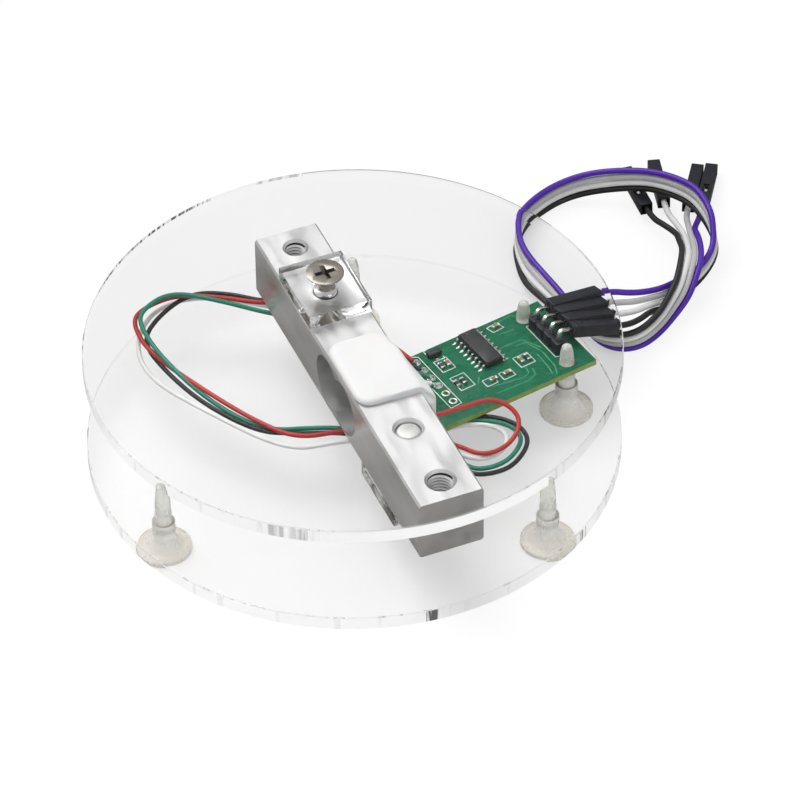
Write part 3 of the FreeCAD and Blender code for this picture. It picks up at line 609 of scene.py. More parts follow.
class MetalSettings(bpy.types.PropertyGroup):
    """The bar and the screws."""

    bar: colour_property("Bar", "Machined aluminium", (0.80, 0.80, 0.80))
    screw: colour_property("Screw", "Warm nickel plating", (0.40, 0.37, 0.33))
    thread_depth: length_property("Thread depth", "Height of a thread's ridge", 0.35 * MM)


class PlasticSettings(bpy.types.PropertyGroup):
    """The posts, the silicone and the black mouldings."""

    nylon: colour_property("Nylon", "Milky post plastic", (0.97, 0.97, 0.94))
    # Colour of the post plastic at the floor, darker and browner than its own
    low_tone: colour_property("Low tone", "Post plastic near the floor", (0.84, 0.80, 0.71))
    silicone: colour_property("Silicone", "Cast cover", (0.75, 0.75, 0.75))
    moulding: colour_property("Moulding", "Header and socket plastic", (0.010, 0.011, 0.017))


class BoardSettings(bpy.types.PropertyGroup):
    """The board's lacquer, copper and print."""

    lacquer: colour_property("Lacquer", "Solder resist", (0.010, 0.150, 0.072))
    trace: colour_property("Trace", "Resist over copper", (0.030, 0.250, 0.125))
    edge: colour_property("Edge", "Cut glass laminate", (0.28, 0.40, 0.07))
    print: colour_property("Print", "White print", (0.86, 0.86, 0.86))
    trace_width: length_property("Trace width", "Width of a copper trace", 0.28 * MM)
    print_width: length_property("Print width", "Width of a printed line", 0.17 * MM)


class WireSettings(bpy.types.PropertyGroup):
    """The jumper ribbon and the leads."""

    jumper_diameter: length_property("Jumper diameter", "Over the insulation", 1.2 * MM)
    lead_diameter: length_property("Lead diameter", "Over the insulation", 0.9 * MM)
    purple: colour_property("Purple", "Jumper insulation", (0.085, 0.012, 0.43))
    grey: colour_property("Grey", "Jumper insulation", (0.56, 0.55, 0.55))
    white: colour_property("White", "Jumper and lead insulation", (0.86, 0.86, 0.85))
    black: colour_property("Black", "Jumper and lead insulation", (0.014, 0.014, 0.015))
    red: colour_property("Red", "Lead insulation", (0.50, 0.024, 0.018))
    green: colour_property("Green", "Lead insulation", (0.008, 0.24, 0.155))


class StageSettings(bpy.types.PropertyGroup):
    """The camera, the lights and the floor."""

    place: place_property("Camera", "Where the camera stands", (-0.2973, -0.74466, 0.75349))
    aim: place_property("Aim", "What the camera looks at", (0.00691, -0.00578, 0.02))
    roll: angle_property("Roll", "Turn of the camera about its view", -0.678)
    lens: number_property("Lens", "Focal length in millimetres for the sensor", 263.04)
    floor: colour_property("Floor", "Pale floor", (0.80, 0.80, 0.80))
    key: number_property("Key", "Power of the large top light", 7.4)
    fill: number_property("Fill", "Power of the front light", 1.6)
    sky: number_property("Sky", "Light from all round", 0.62)
    horizon: number_property("Horizon", "Share of the light that comes in level", 0.3)
    seen_glow: number_property("Seen glow", "Glow of the floor, seen directly", 1.1)
    seen_share: number_property("Glow share", "How far the floor's glow hides its shadows", 0.75)
    through_glow: number_property("Glow through", "Glow of the floor, seen through the plates", 1.09)
    through_share: number_property("Glow share through", "How far that hides its shadows", 0.42)
    mirrored: number_property("Mirrored floor", "Brightness of the floor in glossy surfaces", 0.3)


SETTINGS = {
    "plates": PlateSettings, "metal": MetalSettings, "plastic": PlasticSettings,
    "board": BoardSettings, "wires": WireSettings, "stage": StageSettings,
}


def settings(name):
    """A group of the scene's settings."""
    return getattr(bpy.context.scene, "load_cell_" + name)


# Clear plates and blocks

# The blocks' gap to what they touch, and the stretch of the rims' patterns, which run up the wall
AIR_GAP = 0.03 * MM
STREAKED = (1.0, 1.0, 0.06)

# Gloss of the rims and of the flat faces
RIM_COAT = 0.5
FACE_COAT = 0.17

# A face of the rim lies this near the plate's edge, is slanted over the first share of an upright
# normal, and level over the second
RIM_REACH = 0.5 * MM
SLANTED = 0.3
LEVEL = 0.95

# Through the plate, its far rim shows only this high, with a painted grey line of shade along its
# top
RIM_SEEN = 0.9 * MM
RIM_LINE = 0.4 * MM
WHOLE_RIM = 3.0 * MM

# Materials of the rims: the palest and the darkest share that they let through, the scale of their
# dashes, and the low limit of the clusters, where less leaves more of the rim pale. The dark dashes
# are painted reflections of the room in the saw marks, and the grey line is painted shade.
RIM_STREAKS = {
    "clear_plate_rim": (0.97, 0.5, 500.0, -3.2),
    "clear_plate_lower_rim": (0.97, 0.5, 500.0, -3.2),
    "soft_saw_marks": (0.97, 0.35, 900.0, 0.8),
    "dark_saw_marks": (0.9, 0.02, 1500.0, 1.1),
    "grey_rim_line": (0.2, 0.06, 300.0, -1.0),
}
# The rims' broken corners, in the same columns: their dark dashes are painted reflections too
CORNER_STREAKS = (0.85, 0.05, 700.0, -3.2)
CLUSTER_SCALE = 34.0
CLUSTER_HIGH = 1.1
DASH_LOW, DASH_HIGH = -0.2, 1.4

# Marks on the rims, painted reflections and a painted grey line of shade: from and to in degrees
# about the axis, how far down they reach from the top face, and their material. The later of two
# that overlap counts.
RIM_MARKS = {
    "top_disc": [
        (20.0, 84.0, RIM_LINE, "grey_rim_line"), (79.0, 88.0, RIM_SEEN, "soft_saw_marks"),
        (101.0, 140.0, RIM_SEEN, "dark_saw_marks"), (228.0, 239.5, WHOLE_RIM, "soft_saw_marks"),
    ],
    "bottom_disc": [
        (262.5, 266.5, WHOLE_RIM, "dark_saw_marks"), (303.0, 307.0, WHOLE_RIM, "dark_saw_marks"),
    ],
}


class LOADCELL_OT_plates(bpy.types.Operator):
    """Dress the two clear plates and the clear blocks between them and the bar"""

    bl_idname = "loadcell.plates"
    bl_label = "Clear plates"

    def execute(self, context):
        own = settings("plates")
        finishes = self.finishes(own)
        for node in ("top_disc", "bottom_disc"):
            self.plate(node, finishes, own)
        self.blocks(own)
        return {"FINISHED"}

    def plate(self, node, finishes, own):
        """One plate, with its rim divided at the levels that the marks need."""
        piece = dressed(node, "clear_acrylic", finishes.values(), ending="_clear")
        low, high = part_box(node)
        edge = (high.x - low.x) / 2 - RIM_REACH
        for depth in (RIM_SEEN, RIM_LINE):
            with editing(piece):
                bpy.ops.mesh.bisect(plane_co=(0.0, 0.0, high.z - depth), plane_no=(0.0, 0.0, 1.0))

        def rim(part):
            """Whether a face belongs to the rim or its broken edges."""
            return part.center.xy.length > edge and abs(part.normal.z) < LEVEL

        def wall(part, start, end, depth):
            """Whether a face stands between two headings and down to a depth."""
            heading = math.atan2(part.center.y, part.center.x) % math.tau
            return (
                rim(part) and abs(part.normal.z) < SLANTED and start < heading < end
                and part.center.z > high.z - depth)

        paint_faces(piece, finishes["clear_plate_rim"], rim)
        paint_faces(
            piece, finishes["sawn_corner"], lambda part: rim(part) and abs(part.normal.z) > SLANTED)
        paint_faces(
            piece, finishes["clear_plate_lower_rim"],
            lambda part: rim(part) and part.center.z < high.z - RIM_SEEN)
        # Painted glow on the near rim of the top plate
        if node == "top_disc":
            paint_faces(
                piece, finishes["glowing_plate_rim"],
                lambda part: wall(part, own.glow_from, own.glow_to, WHOLE_RIM))
        # Painted reflections and the painted grey line, each between two headings
        for start, end, depth, mark in RIM_MARKS[node]:
            paint_faces(
                piece, finishes[mark],
                lambda part: wall(part, math.radians(start), math.radians(end), depth))

    def finishes(self, own):
        """The plates' materials."""
        made = {"clear_plate_face": self.clear("clear_plate_face", own.tint, own.shade, FACE_COAT)}
        for name, shares in RIM_STREAKS.items():
            made[name] = self.clear(name, own.rim, own.shade, RIM_COAT, STREAKED)
            self.streak(made[name], *shares)
        made["clear_plate_lower_rim"].unseen_from_inside()
        corner = Finish("sawn_corner", STREAKED)
        self.streak(corner, *CORNER_STREAKS)
        corner.roughness((0.2, 0.5), scale=300.0)
        corner.set(Transmission_Weight=0.6, IOR=1.1).clear_shadow(own.shade)
        made["sawn_corner"] = corner
        # Painted light: pale rim faces that glow by their own emission
        glowing = plastic(
            "glowing_plate_rim", (0.93, 0.93, 0.93), rough=(0.3, 0.5), scale=300.0, grain=0.05,
            patch=0.97)
        glowing.set(Emission_Color=(1.0, 1.0, 1.0, 1.0), Emission_Strength=own.painted_rim_glow)
        made["glowing_plate_rim"] = glowing
        return made

    def clear(self, name, tint, shade, coat, stretch=(1.0, 1.0, 1.0)):
        """Clear plastic that shows what lies behind it unbent, with a glossy skin."""
        finish = Finish(name, stretch)
        finish.roughness((0.0, 0.012), scale=60.0)
        finish.set(
            Base_Color=(*tint, 1.0), Transmission_Weight=1.0, IOR=1.01,
            Coat_Weight=coat, Coat_IOR=1.49, Coat_Roughness=0.02,
        )
        return finish.clear_shadow(shade)

    def streak(self, finish, pale, dark, dash_scale, gap):
        """Mostly pale, with rare clusters of dark dashes: painted reflections of the room in the saw
        marks.
        """
        clusters = finish.effect("value", Scale=CLUSTER_SCALE, Low=gap, High=CLUSTER_HIGH)
        dashes = finish.effect("value", Scale=dash_scale, Low=DASH_LOW, High=DASH_HIGH)
        share = product(finish.tree, clusters, dashes)
        pale_colour = (pale, pale, pale, 1.0)
        dark_colour = (dark, dark, dark, 1.0)
        finish.feed("Base Color", colour_mix(finish.tree, share, pale_colour, dark_colour))

    def blocks(self, own):
        """The two blocks, drawn back a little from what they touch."""
        finish = Finish("clear_block")
        finish.roughness((0.0, 0.05), scale=300.0)
        finish.set(Base_Color=(*own.tint, 1.0), Transmission_Weight=1.0, IOR=1.27)
        finish.clear_shadow(own.tint)
        for node in ("upper_spacer_block", "lower_spacer_block"):
            piece = dressed(node, "clear_acrylic", [finish], edge=0.15 * MM, ending="_clear")
            heights = [vertex.co.z for vertex in piece.data.vertices]
            thick = max(heights) - min(heights)
            squeezed(piece, (thick - 2 * AIR_GAP) / thick, box_middle(node))


# Bar and screws

# The milling's marks run along the bar
MILLED_WAY = (1.0, 0.25, 1.0)

# The bar's open tapped holes: place along it from its middle, and radius
OPEN_HOLES = {
    "far_outer": (outer_hole_offset, 2.0 * MM),
    "near_outer": (-outer_hole_offset, 2.5 * MM),
}

# A thread's ridge: how deep its root lies in the wall as a share of its depth, half its width and
# the length left free of it as shares of the pitch, its steps a turn, and its distance from the
# bar's faces
ROOT_SUNK = 0.15
RIDGE_HALF_WIDTH = 0.42
THREAD_FREE = 0.9
HELIX_STEPS = 32
THREAD_BOTTOM = 0.5 * MM
THREAD_TOP = 0.4 * MM

# The faces of a hole's wall, which get painted shade: how level their normals are, and how far past
# the radius they lie
UPRIGHT = 0.1
GROOVE_REACH = 0.1 * MM


def thread_ridge(name, radius, depth, middle):
    """A thread's ridge in one of the bar's holes: a triangle swept up a helix, its ends closed."""
    bottom = bar_low.z + THREAD_BOTTOM
    top = bar_high.z - THREAD_TOP
    bpy.ops.object.select_all(action="DESELECT")
    bpy.ops.mesh.primitive_circle_add(vertices=3, radius=1.0, fill_type="NOTHING")
    piece = bpy.context.active_object
    root = radius + depth * ROOT_SUNK
    half = thread_pitch * RIDGE_HALF_WIDTH
    corners = [(root, -half), (root - depth * (1.0 + ROOT_SUNK), 0.0), (root, half)]
    for vertex, (out, up) in zip(piece.data.vertices, corners):
        vertex.co = (out, 0.0, up)
    turns = max(1, int((top - bottom) / thread_pitch - THREAD_FREE))
    modified(
        piece, "helix", "SCREW", axis="Z", angle=math.tau, screw_offset=thread_pitch,
        iterations=turns, steps=HELIX_STEPS, render_steps=HELIX_STEPS, use_merge_vertices=False,
    )
    start = top - (turns + THREAD_FREE / 2) * thread_pitch
    with editing(piece):
        bpy.ops.mesh.select_mode(type="EDGE")
        bpy.ops.mesh.select_all(action="DESELECT")
        bpy.ops.mesh.select_non_manifold()
        bpy.ops.mesh.fill()
        bpy.ops.mesh.select_all(action="SELECT")
        bpy.ops.mesh.normals_make_consistent(inside=False)
        bpy.ops.transform.translate(value=(*middle, start))
    return fresh(name)


class LOADCELL_OT_bar(bpy.types.Operator):
    """Dress the bar and give its open tapped holes the look of threads: ridges, and painted shade on
    their walls
    """

    bl_idname = "loadcell.bar"
    bl_label = "Bar"

    def execute(self, context):
        own = settings("metal")
        finish = metal(
            "milled_aluminium", own.bar, rough=(0.28, 0.5), scale=150.0, grain=0.05, patch=0.8,
            stretch=MILLED_WAY)
        # Painted shade: the open holes' walls take a far darker aluminium, as threads trap light
        groove = metal("thread_groove", darker(own.bar, 0.07), rough=(0.55, 0.7), scale=400.0)
        bar = dressed("load_cell_bar", "machined_aluminium", [finish, groove], angle=30.0)
        for name, (offset, radius) in OPEN_HOLES.items():
            axis = Vector((bar_middle.x, bar_middle.y + offset))
            paint_faces(bar, groove, lambda part: (
                abs(part.normal.z) < UPRIGHT
                and (part.center.xy - axis).length < radius + GROOVE_REACH))
            ridge = thread_ridge("thread_" + name, radius, own.thread_depth, axis)
            smoothed(ridge, angle=25.0)
            handed_over(ridge, "machined_aluminium", [finish])
        return {"FINISHED"}


# The lower screw's tip starts this far under its end, and is raised to show in the bar's hole
TIP_LENGTH = 1.0 * MM
TIP_RAISED = 2.2 * MM

# The cross recess in a screw's head, painted darker as shade: its radius, its depth, and the head's
# own face left out
RECESS_REACH = 2.15 * MM
RECESS_DEPTH = 1.75 * MM
HEAD_FACE = 0.05 * MM


class LOADCELL_OT_screws(bpy.types.Operator):
    """Dress the two countersunk screws, with painted shade in their recesses and the lower one's tip
    turned
    """

    bl_idname = "loadcell.screws"
    bl_label = "Screws"

    def execute(self, context):
        own = settings("metal")
        finish = metal("nickel_plate", own.screw, rough=(0.2, 0.32), scale=300.0, grain=0.05)
        # Painted shade: the cross recess is darker than the plating
        recess = metal("worn_recess", darker(own.screw, 0.45), rough=(0.35, 0.5), scale=500.0)
        turned = metal("turned_tip", (0.66, 0.66, 0.65), rough=(0.35, 0.55), scale=400.0)
        for node in ("upper_screw", "lower_screw"):
            piece = dressed(node, "nickel_steel", [finish, recess, turned], edge=0.05 * MM)
            middle = box_middle(node)
            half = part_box(node)[1].z - middle.z
            paint_faces(piece, recess, lambda part: (
                (part.center.xy - middle.xy).length < RECESS_REACH
                and half - RECESS_DEPTH < abs(part.center.z - middle.z) < half - HEAD_FACE))
        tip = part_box("lower_screw")[1].z - TIP_LENGTH
        for vertex in piece.data.vertices:
            if vertex.co.z > tip:
                vertex.co.z += TIP_RAISED
        paint_faces(piece, turned, lambda part: part.center.z > tip + TIP_RAISED)
        return {"FINISHED"}


# Posts and silicone

# Over this height above the floor, a post's plastic has its own colour; under it, it turns darker
# and browner towards the floor
LOW_TONE_TOP = 3.5 * MM


class LOADCELL_OT_posts(bpy.types.Operator):
    """Dress the milky push-in posts"""

    bl_idname = "loadcell.posts"
    bl_label = "Posts"

    def execute(self, context):
        own = settings("plastic")
        finish = plastic("milky_nylon", own.nylon, rough=(0.14, 0.32), scale=250.0)
        finish.set(Transmission_Weight=0.55, IOR=1.3)
        finish.clear_shadow(own.low_tone)
        tree = finish.tree
        # Darker and browner towards the floor
        parts = tree.nodes.new("ShaderNodeSeparateXYZ")
        height = tree.nodes.new("ShaderNodeMapRange")
        height.inputs["From Max"].default_value = LOW_TONE_TOP
        tree.links.new(finish.vector, parts.inputs["Vector"])
        tree.links.new(parts.outputs["Z"], height.inputs["Value"])
        clean = finish.surface.inputs["Base Color"].links[0].from_socket
        low_toned = colour_mix(tree, height.outputs["Result"], (*own.low_tone, 1.0), clean)
        finish.feed("Base Color", low_toned)
        for node in ("foot_left", "foot_right", "foot_rear", "board_post_near", "board_post_far"):
            dressed(node, "milky_nylon", [finish], edge=0.08 * MM)
        return {"FINISHED"}


# The silicone's skin: the grain of its remeshing, how far it swells, and its lumps
SKIN_VOXEL = 0.3 * MM
SWELL = 0.2 * MM
LUMP_SCALE = 260.0
LUMP_HEIGHT = 0.09 * MM

# Its pad on the bar's top starts this much under the bar's face, ends at PAD_NEAR, runs nearer by
# PAD_SKEW on the bar's side, and is stretched about PAD_MIDDLE
PAD_BELOW = 0.4 * MM
PAD_NEAR = -10.6 * MM
PAD_SKEW = 1.5 * MM
PAD_MIDDLE = -2.2 * MM
PAD_STRETCH = 1.05

# Its part on the bar's side thins from SAG_TO to SAG_FROM, down to a least share, and its top
# edge sinks by SAG_DROP, less and less down to SAG_DEPTH
SIDE_GAP = 0.05 * MM
SAG_FROM = 2.0 * MM
SAG_TO = -9.5 * MM
SAG_LEAST = 0.1
SAG_DROP = 1.5 * MM
SAG_DEPTH = 4.0 * MM

# The gauges' foil is shortened to this share, so that it stays under the silicone
GAUGE_SHARE = 0.9


def within(value):
    """The value held between nought and one."""
    return min(max(value, 0.0), 1.0)


class LOADCELL_OT_silicone(bpy.types.Operator):
    """Turn the cast cover into one soft, uneven body and dress the foil gauges under it"""

    bl_idname = "loadcell.silicone"
    bl_label = "Silicone and gauges"

    def execute(self, context):
        own = settings("plastic")
        finish = plastic(
            "cast_silicone", own.silicone, rough=(0.42, 0.6), scale=120.0, grain=0.1, patch=0.96)
        finish.set(Subsurface_Weight=0.25, Subsurface_Scale=0.8 * MM)
        piece = node_copy("silicone_cover", "silicone_cover_cast")
        modified(piece, "one skin", "REMESH", mode="VOXEL", voxel_size=SKIN_VOXEL)
        self.sag(piece)
        modified(piece, "softened", "SMOOTH", factor=0.5, iterations=18)
        for vertex in piece.data.vertices:
            lump = noise.noise(vertex.co * LUMP_SCALE) * LUMP_HEIGHT
            vertex.co += vertex.normal * (SWELL + lump)
        only(piece)
        bpy.ops.object.shade_smooth()
        handed_over(piece, "white_silicone", [finish], "silicone_cover")
        foil = Finish("gauge_foil")
        foil.colour((0.55, 0.30, 0.10), (0.45, 0.24, 0.08), scale=900.0)
        foil.roughness((0.3, 0.45), scale=700.0).set(Metallic=0.3)
        for node in ("top_strain_gauges", "bottom_strain_gauges"):
            piece = dressed(node, "gauge_foil", [foil], edge=0.02 * MM)
            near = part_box(node)[0].y
            for vertex in piece.data.vertices:
                vertex.co.y = near + (vertex.co.y - near) * GAUGE_SHARE
        return {"FINISHED"}

    def sag(self, piece):
        """Round the part on the bar's side over and thin it towards its far end."""
        wall = bar_high.x + SIDE_GAP
        reach = max(vertex.co.x for vertex in piece.data.vertices) - wall
        for vertex in piece.data.vertices:
            out = (vertex.co.x - wall) / reach
            if vertex.co.z > bar_high.z - PAD_BELOW:
                near = max(vertex.co.y, PAD_NEAR - PAD_SKEW * within(out))
                vertex.co.y = (near - PAD_MIDDLE) * PAD_STRETCH + PAD_MIDDLE
            if out <= 0.0:
                continue
            along = within((vertex.co.y - SAG_FROM) / (SAG_TO - SAG_FROM))
            vertex.co.x = wall + out * reach * (SAG_LEAST + (1.0 - SAG_LEAST) * along)
            height = within((vertex.co.z - (bar_high.z - SAG_DEPTH)) / SAG_DEPTH)
            vertex.co.z -= SAG_DROP * math.sqrt(out) * height


# Board. Places on it are (u, v) in millimetres: u from its right edge, v from its middle line.

TRACES = [
    [(-11.5, 6.1), (-8.3, 5.7)],
    [(-13.5, 2.7), (-12.1, 2.7), (-8.6, 2.5), (-6.7, -1.4)],
    [(-10.6, 1.6), (-8.4, 1.4), (-7.4, -1.8)],
    [(-8.4, -2.4), (-8.6, -6.5), (-9.1, -8.8)],
    [(-7.2, -2.0), (-7.4, -7.0), (-8.4, -9.2)],
    [(-12.2, -4.1), (-12.6, -6.0), (-14.1, -6.6), (-20.6, -5.4)],
    [(-11.4, -5.4), (-11.8, -7.0), (-13.7, -7.8), (-21.0, -7.5)],
    [(-21.1, -1.8), (-22.4, -3.3)],
    [(-5.7, 8.5), (-6.7, 9.3), (-10.8, 9.0)],
]
PRINT_LINES = [
    [(-12.4, 8.8), (-10.1, 9.2), (-9.5, 7.3), (-12.0, 7.1), (-12.4, 8.8)],
    [(-25.4, 9.9), (-26.1, 9.9), (-26.1, 9.0)],
    [(-23.6, 6.9), (-23.6, 6.2), (-24.3, 6.2)],
    [(-26.1, 2.9), (-26.1, 6.3), (-23.3, 6.3), (-23.3, 2.9), (-26.1, 2.9)],
    [(-26.0, -3.2), (-26.0, 0.8), (-22.9, 0.8), (-22.9, -3.2), (-26.0, -3.2)],
    [(-21.3, -5.0), (-21.3, -3.1), (-18.9, -3.1), (-18.9, -5.0), (-21.3, -5.0)],
    [(-17.6, -5.1), (-17.6, -3.1), (-15.0, -3.1), (-15.0, -5.1), (-17.6, -5.1)],
    [(-13.0, -4.0), (-13.0, -1.0), (-9.8, -1.0), (-9.8, -4.0), (-13.0, -4.0)],
    [(-4.9, 5.1), (-5.9, 5.0), (-6.0, -5.1), (-5.0, -5.4)],
    [(-28.7, 9.8), (-27.7, 9.1), (-27.8, -6.0), (-30.3, -6.2), (-30.3, 0.3)],
]
TRACE_HEIGHT = 0.035 * MM
PRINT_HEIGHT = 0.02 * MM

# The chip's two rows of feet, about its middle
CHIP_U, CHIP_V = -17.0, 4.0
CHIP_FOOT_REACH = 2.75
CHIP_FOOT_PITCH = 1.27
CHIP_ROWS = 8
CHIP_FEET = [
    (CHIP_U + side * CHIP_FOOT_REACH, CHIP_V + (row - (CHIP_ROWS - 1) / 2) * CHIP_FOOT_PITCH)
    for side in (-1, 1) for row in range(CHIP_ROWS)
]
TRANSISTOR_FEET = [(-25.85, 9.0), (-23.95, 9.0), (-24.9, 6.8)]

# Solder mounds' lengths, widths and heights in millimetres
CHIP_FILLET = (1.5, 0.5, 0.14)
TRANSISTOR_FILLET = (0.7, 0.5, 0.12)

# The leads' pads: a column of rings
PAD_U, FIRST_PAD_V = -28.85, 8.0
PAD_PITCH = 2.54
PAD_COUNT = 6
PAD_PLACES = [(PAD_U, FIRST_PAD_V - PAD_PITCH * row) for row in range(PAD_COUNT)]
PAD_OUTER = 0.85 * MM
PAD_INNER = 0.5 * MM
PAD_HEIGHT = 0.05 * MM

# The board's cut edge is where the normals are more level than this
CUT_EDGE = 0.5

# Length of the metal ends of the small two-ended parts
CAP_LENGTH = 0.36 * MM


def pressed_flat(piece, share):
    """Press a piece flat towards the board's top."""
    squeezed(piece, share, (0.0, 0.0, board_top))
    smoothed(piece)


def board_mounds(name, places, size, finish):
    """Small mounds of solder on the board, each the upper half of a flat ball."""
    pieces = []
    for place in on_board_mm(places):
        bpy.ops.object.select_all(action="DESELECT")
        bpy.ops.mesh.primitive_uv_sphere_add(segments=16, ring_count=8, radius=0.5, location=place)
        piece = bpy.context.active_object
        piece.scale = Vector(size) * MM
        piece.scale.z *= 2.0
        piece.rotation_euler.z = board_turn
        pieces.append(fresh(name))
    piece = joined(name, pieces)
    only(piece)
    bpy.ops.object.shade_smooth()
    handed_over(piece, "solder", [finish])


def board_lines(name, runs, width, height, finish):
    """Flat lines on the board, along runs of places."""
    pieces = []
    for run in runs:
        only(round_curve(name, "POLY", on_board_mm(run), width, resolution=1))
        bpy.ops.object.convert(target="MESH")
        pieces.append(bpy.context.active_object)
    piece = joined(name, pieces)
    pressed_flat(piece, height / (width / 2))
    handed_over(piece, "green_board", [finish])


def pad_rings(name, finish):
    """The flat rings of the leads' pads."""
    pieces = []
    width = PAD_OUTER - PAD_INNER
    for place in on_board_mm(PAD_PLACES):
        bpy.ops.object.select_all(action="DESELECT")
        bpy.ops.mesh.primitive_torus_add(
            location=place, major_radius=(PAD_OUTER + PAD_INNER) / 2, minor_radius=width / 2,
            major_segments=32, minor_segments=8,
        )
        pieces.append(fresh(name))
    piece = joined(name, pieces)
    pressed_flat(piece, PAD_HEIGHT / (width / 2))
    handed_over(piece, "tinned_metal", [finish])


class LOADCELL_OT_board(bpy.types.Operator):
    """Dress the board: lacquer, cut edge, traces, pads and printed lines"""

    bl_idname = "loadcell.board"
    bl_label = "Board"

    def execute(self, context):
        own = settings("board")
        lacquer = plastic(
            "solder_resist", own.lacquer, rough=(0.22, 0.34), scale=300.0, grain=0.06, patch=0.82)
        lacquer.set(Specular_IOR_Level=0.15)
        cut = plastic("cut_laminate", own.edge, rough=(0.5, 0.7), scale=900.0, grain=0.4, patch=0.7)
        copper = plastic(
            "resist_over_copper", own.trace, rough=(0.25, 0.35), scale=300.0, grain=0.05, patch=0.9)
        ink = plastic("white_print", own.print, rough=(0.5, 0.7), scale=900.0, grain=0.1, patch=0.92)
        tin = metal("tinned_pads", (0.78, 0.78, 0.77), rough=(0.2, 0.4), scale=900.0)
        piece = dressed("circuit_board", "green_board", [lacquer, cut], edge=0.08 * MM)
        paint_faces(piece, cut, lambda part: abs(part.normal.z) < CUT_EDGE)
        board_lines("board_traces", TRACES, own.trace_width, TRACE_HEIGHT, copper)
        board_lines("board_print", PRINT_LINES, own.print_width, PRINT_HEIGHT, ink)
        board_mounds("chip_fillets", CHIP_FEET, CHIP_FILLET, tin)
        board_mounds("transistor_fillets", TRANSISTOR_FEET, TRANSISTOR_FILLET, tin)
        pad_rings("board_pads", tin)
        return {"FINISHED"}


class LOADCELL_OT_small_parts(bpy.types.Operator):
    """Dress the parts soldered to the board"""

    bl_idname = "loadcell.small_parts"
    bl_label = "Parts on the board"

    def execute(self, context):
        epoxy = plastic(
            "black_epoxy", (0.016, 0.017, 0.018), rough=(0.38, 0.55), scale=800.0, grain=0.3)
        tin = metal("tinned_leads", (0.72, 0.72, 0.71), rough=(0.2, 0.4), scale=900.0)
        solder = metal("solder", (0.70, 0.70, 0.70), rough=(0.18, 0.42), scale=700.0, grain=0.3)
        film = plastic("resistor_film", (0.02, 0.02, 0.022), rough=(0.3, 0.45), scale=900.0)
        clay = plastic("capacitor_body", (0.30, 0.17, 0.08), rough=(0.35, 0.5), scale=900.0)
        dressed("converter_chip", "black_epoxy", [epoxy], edge=0.06 * MM)
        dressed("transistor", "black_epoxy", [epoxy], edge=0.04 * MM)
        dressed("chip_leads", "tinned_metal", [tin], edge=0.03 * MM)
        dressed("solder_joints", "solder", [solder], edge=0.03 * MM)
        self.capped("chip_resistors", "dark_resistor", film, tin)
        self.capped("chip_capacitors", "brown_ceramic", clay, tin)
        return {"FINISHED"}

    def capped(self, node, slot, body, cap):
        """Dress small two-ended parts, their ends in metal."""
        name = node + "_dressed"
        with editing(node_copy(node, name)):
            bpy.ops.mesh.separate(type="LOOSE")
        parts = [part for part in bpy.context.scene.objects if part.name.startswith(name)]
        turn = Matrix.Rotation(-board_turn, 3, "Z")
        for part in parts:
            coated(part, [body, cap])
            corners = [turn @ vertex.co for vertex in part.data.vertices]
            low = [min(corner[axis] for corner in corners) for axis in range(2)]
            high = [max(corner[axis] for corner in corners) for axis in range(2)]
            axis = 0 if high[0] - low[0] > high[1] - low[1] else 1
            middle = (low[axis] + high[axis]) / 2
            reach = (high[axis] - low[axis]) / 2 - CAP_LENGTH
            paint_faces(part, cap, lambda face: abs((turn @ face.center)[axis] - middle) > reach)
            bevelled(part, 0.03 * MM)
        piece = joined(name, parts)
        smoothed(piece)
        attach(piece, "root")
        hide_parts(node)


# Header, sockets and wires


def direction(heading, droop):
    """Unit vector at a heading, pointing down by a droop."""
    return Vector((
        math.cos(heading) * math.cos(droop), math.sin(heading) * math.cos(droop), -math.sin(droop)))


def board_socket_line(index):
    """Mouth and direction of a socket on the header."""
    row = ((len(jumper_colours) - 1) / 2 - index) * pin_pitch
    side = Vector((math.cos(socket_heading), math.sin(socket_heading), 0.0))
    mouth = on_board(-header_inset, row, mouth_height) + side * mouth_reach
    return mouth, direction(socket_heading, socket_droops[index])


def free_socket_line(colour):
    """Mouth and direction of a loose socket, whose axis runs back to its wire."""
    x, y, height, heading = free_ends[colour]
    rise = (height * MM - free_tip_height) / socket_length
    way = direction(math.radians(heading + 180.0), -math.asin(rise))
    return Vector((x, y, height)) * MM - way * socket_length, way


def jumper_points(index):
    """A jumper wire's route in metres, from its board socket to its free one."""
    colour = jumper_colours[index]
    share = index / (len(jumper_colours) - 1)
    mouth, way = board_socket_line(index)
    points = [mouth + way * contact_end, mouth + way * (contact_end + jumper_straight)]
    for edge, other in zip(ribbon_purple_edge, ribbon_black_edge):
        points.append(Vector(edge).lerp(Vector(other), share) * MM)
    points += [Vector(point) * MM for point in jumper_tails[colour]]
    mouth, way = free_socket_line(colour)
    points += [mouth + way * (contact_end + jumper_straight), mouth + way * contact_end]
    return points


def lead_points(colour):
    """A lead's route in metres."""
    points = [Vector(point) * MM for point in lead_routes[colour]]
    for from_left, v, height in lead_landings[colour]:
        points.append(on_board(from_left * MM - 2 * board_half_length, v * MM, height * MM))
    return points


def laid_wire(node, slot, points, diameter, name, colour):
    """A smooth round wire with its route's points as control points, in place of its tube."""
    piece = round_curve(node + "_laid", "NURBS", points, diameter, resolution=5)
    piece.data.resolution_u = 6
    spline = piece.data.splines[0]
    spline.order_u = 3
    spline.use_endpoint_u = True
    finish = plastic(name, colour, rough=(0.3, 0.45), scale=300.0, grain=0.06, patch=0.92)
    return handed_over(piece, slot, [finish], node)


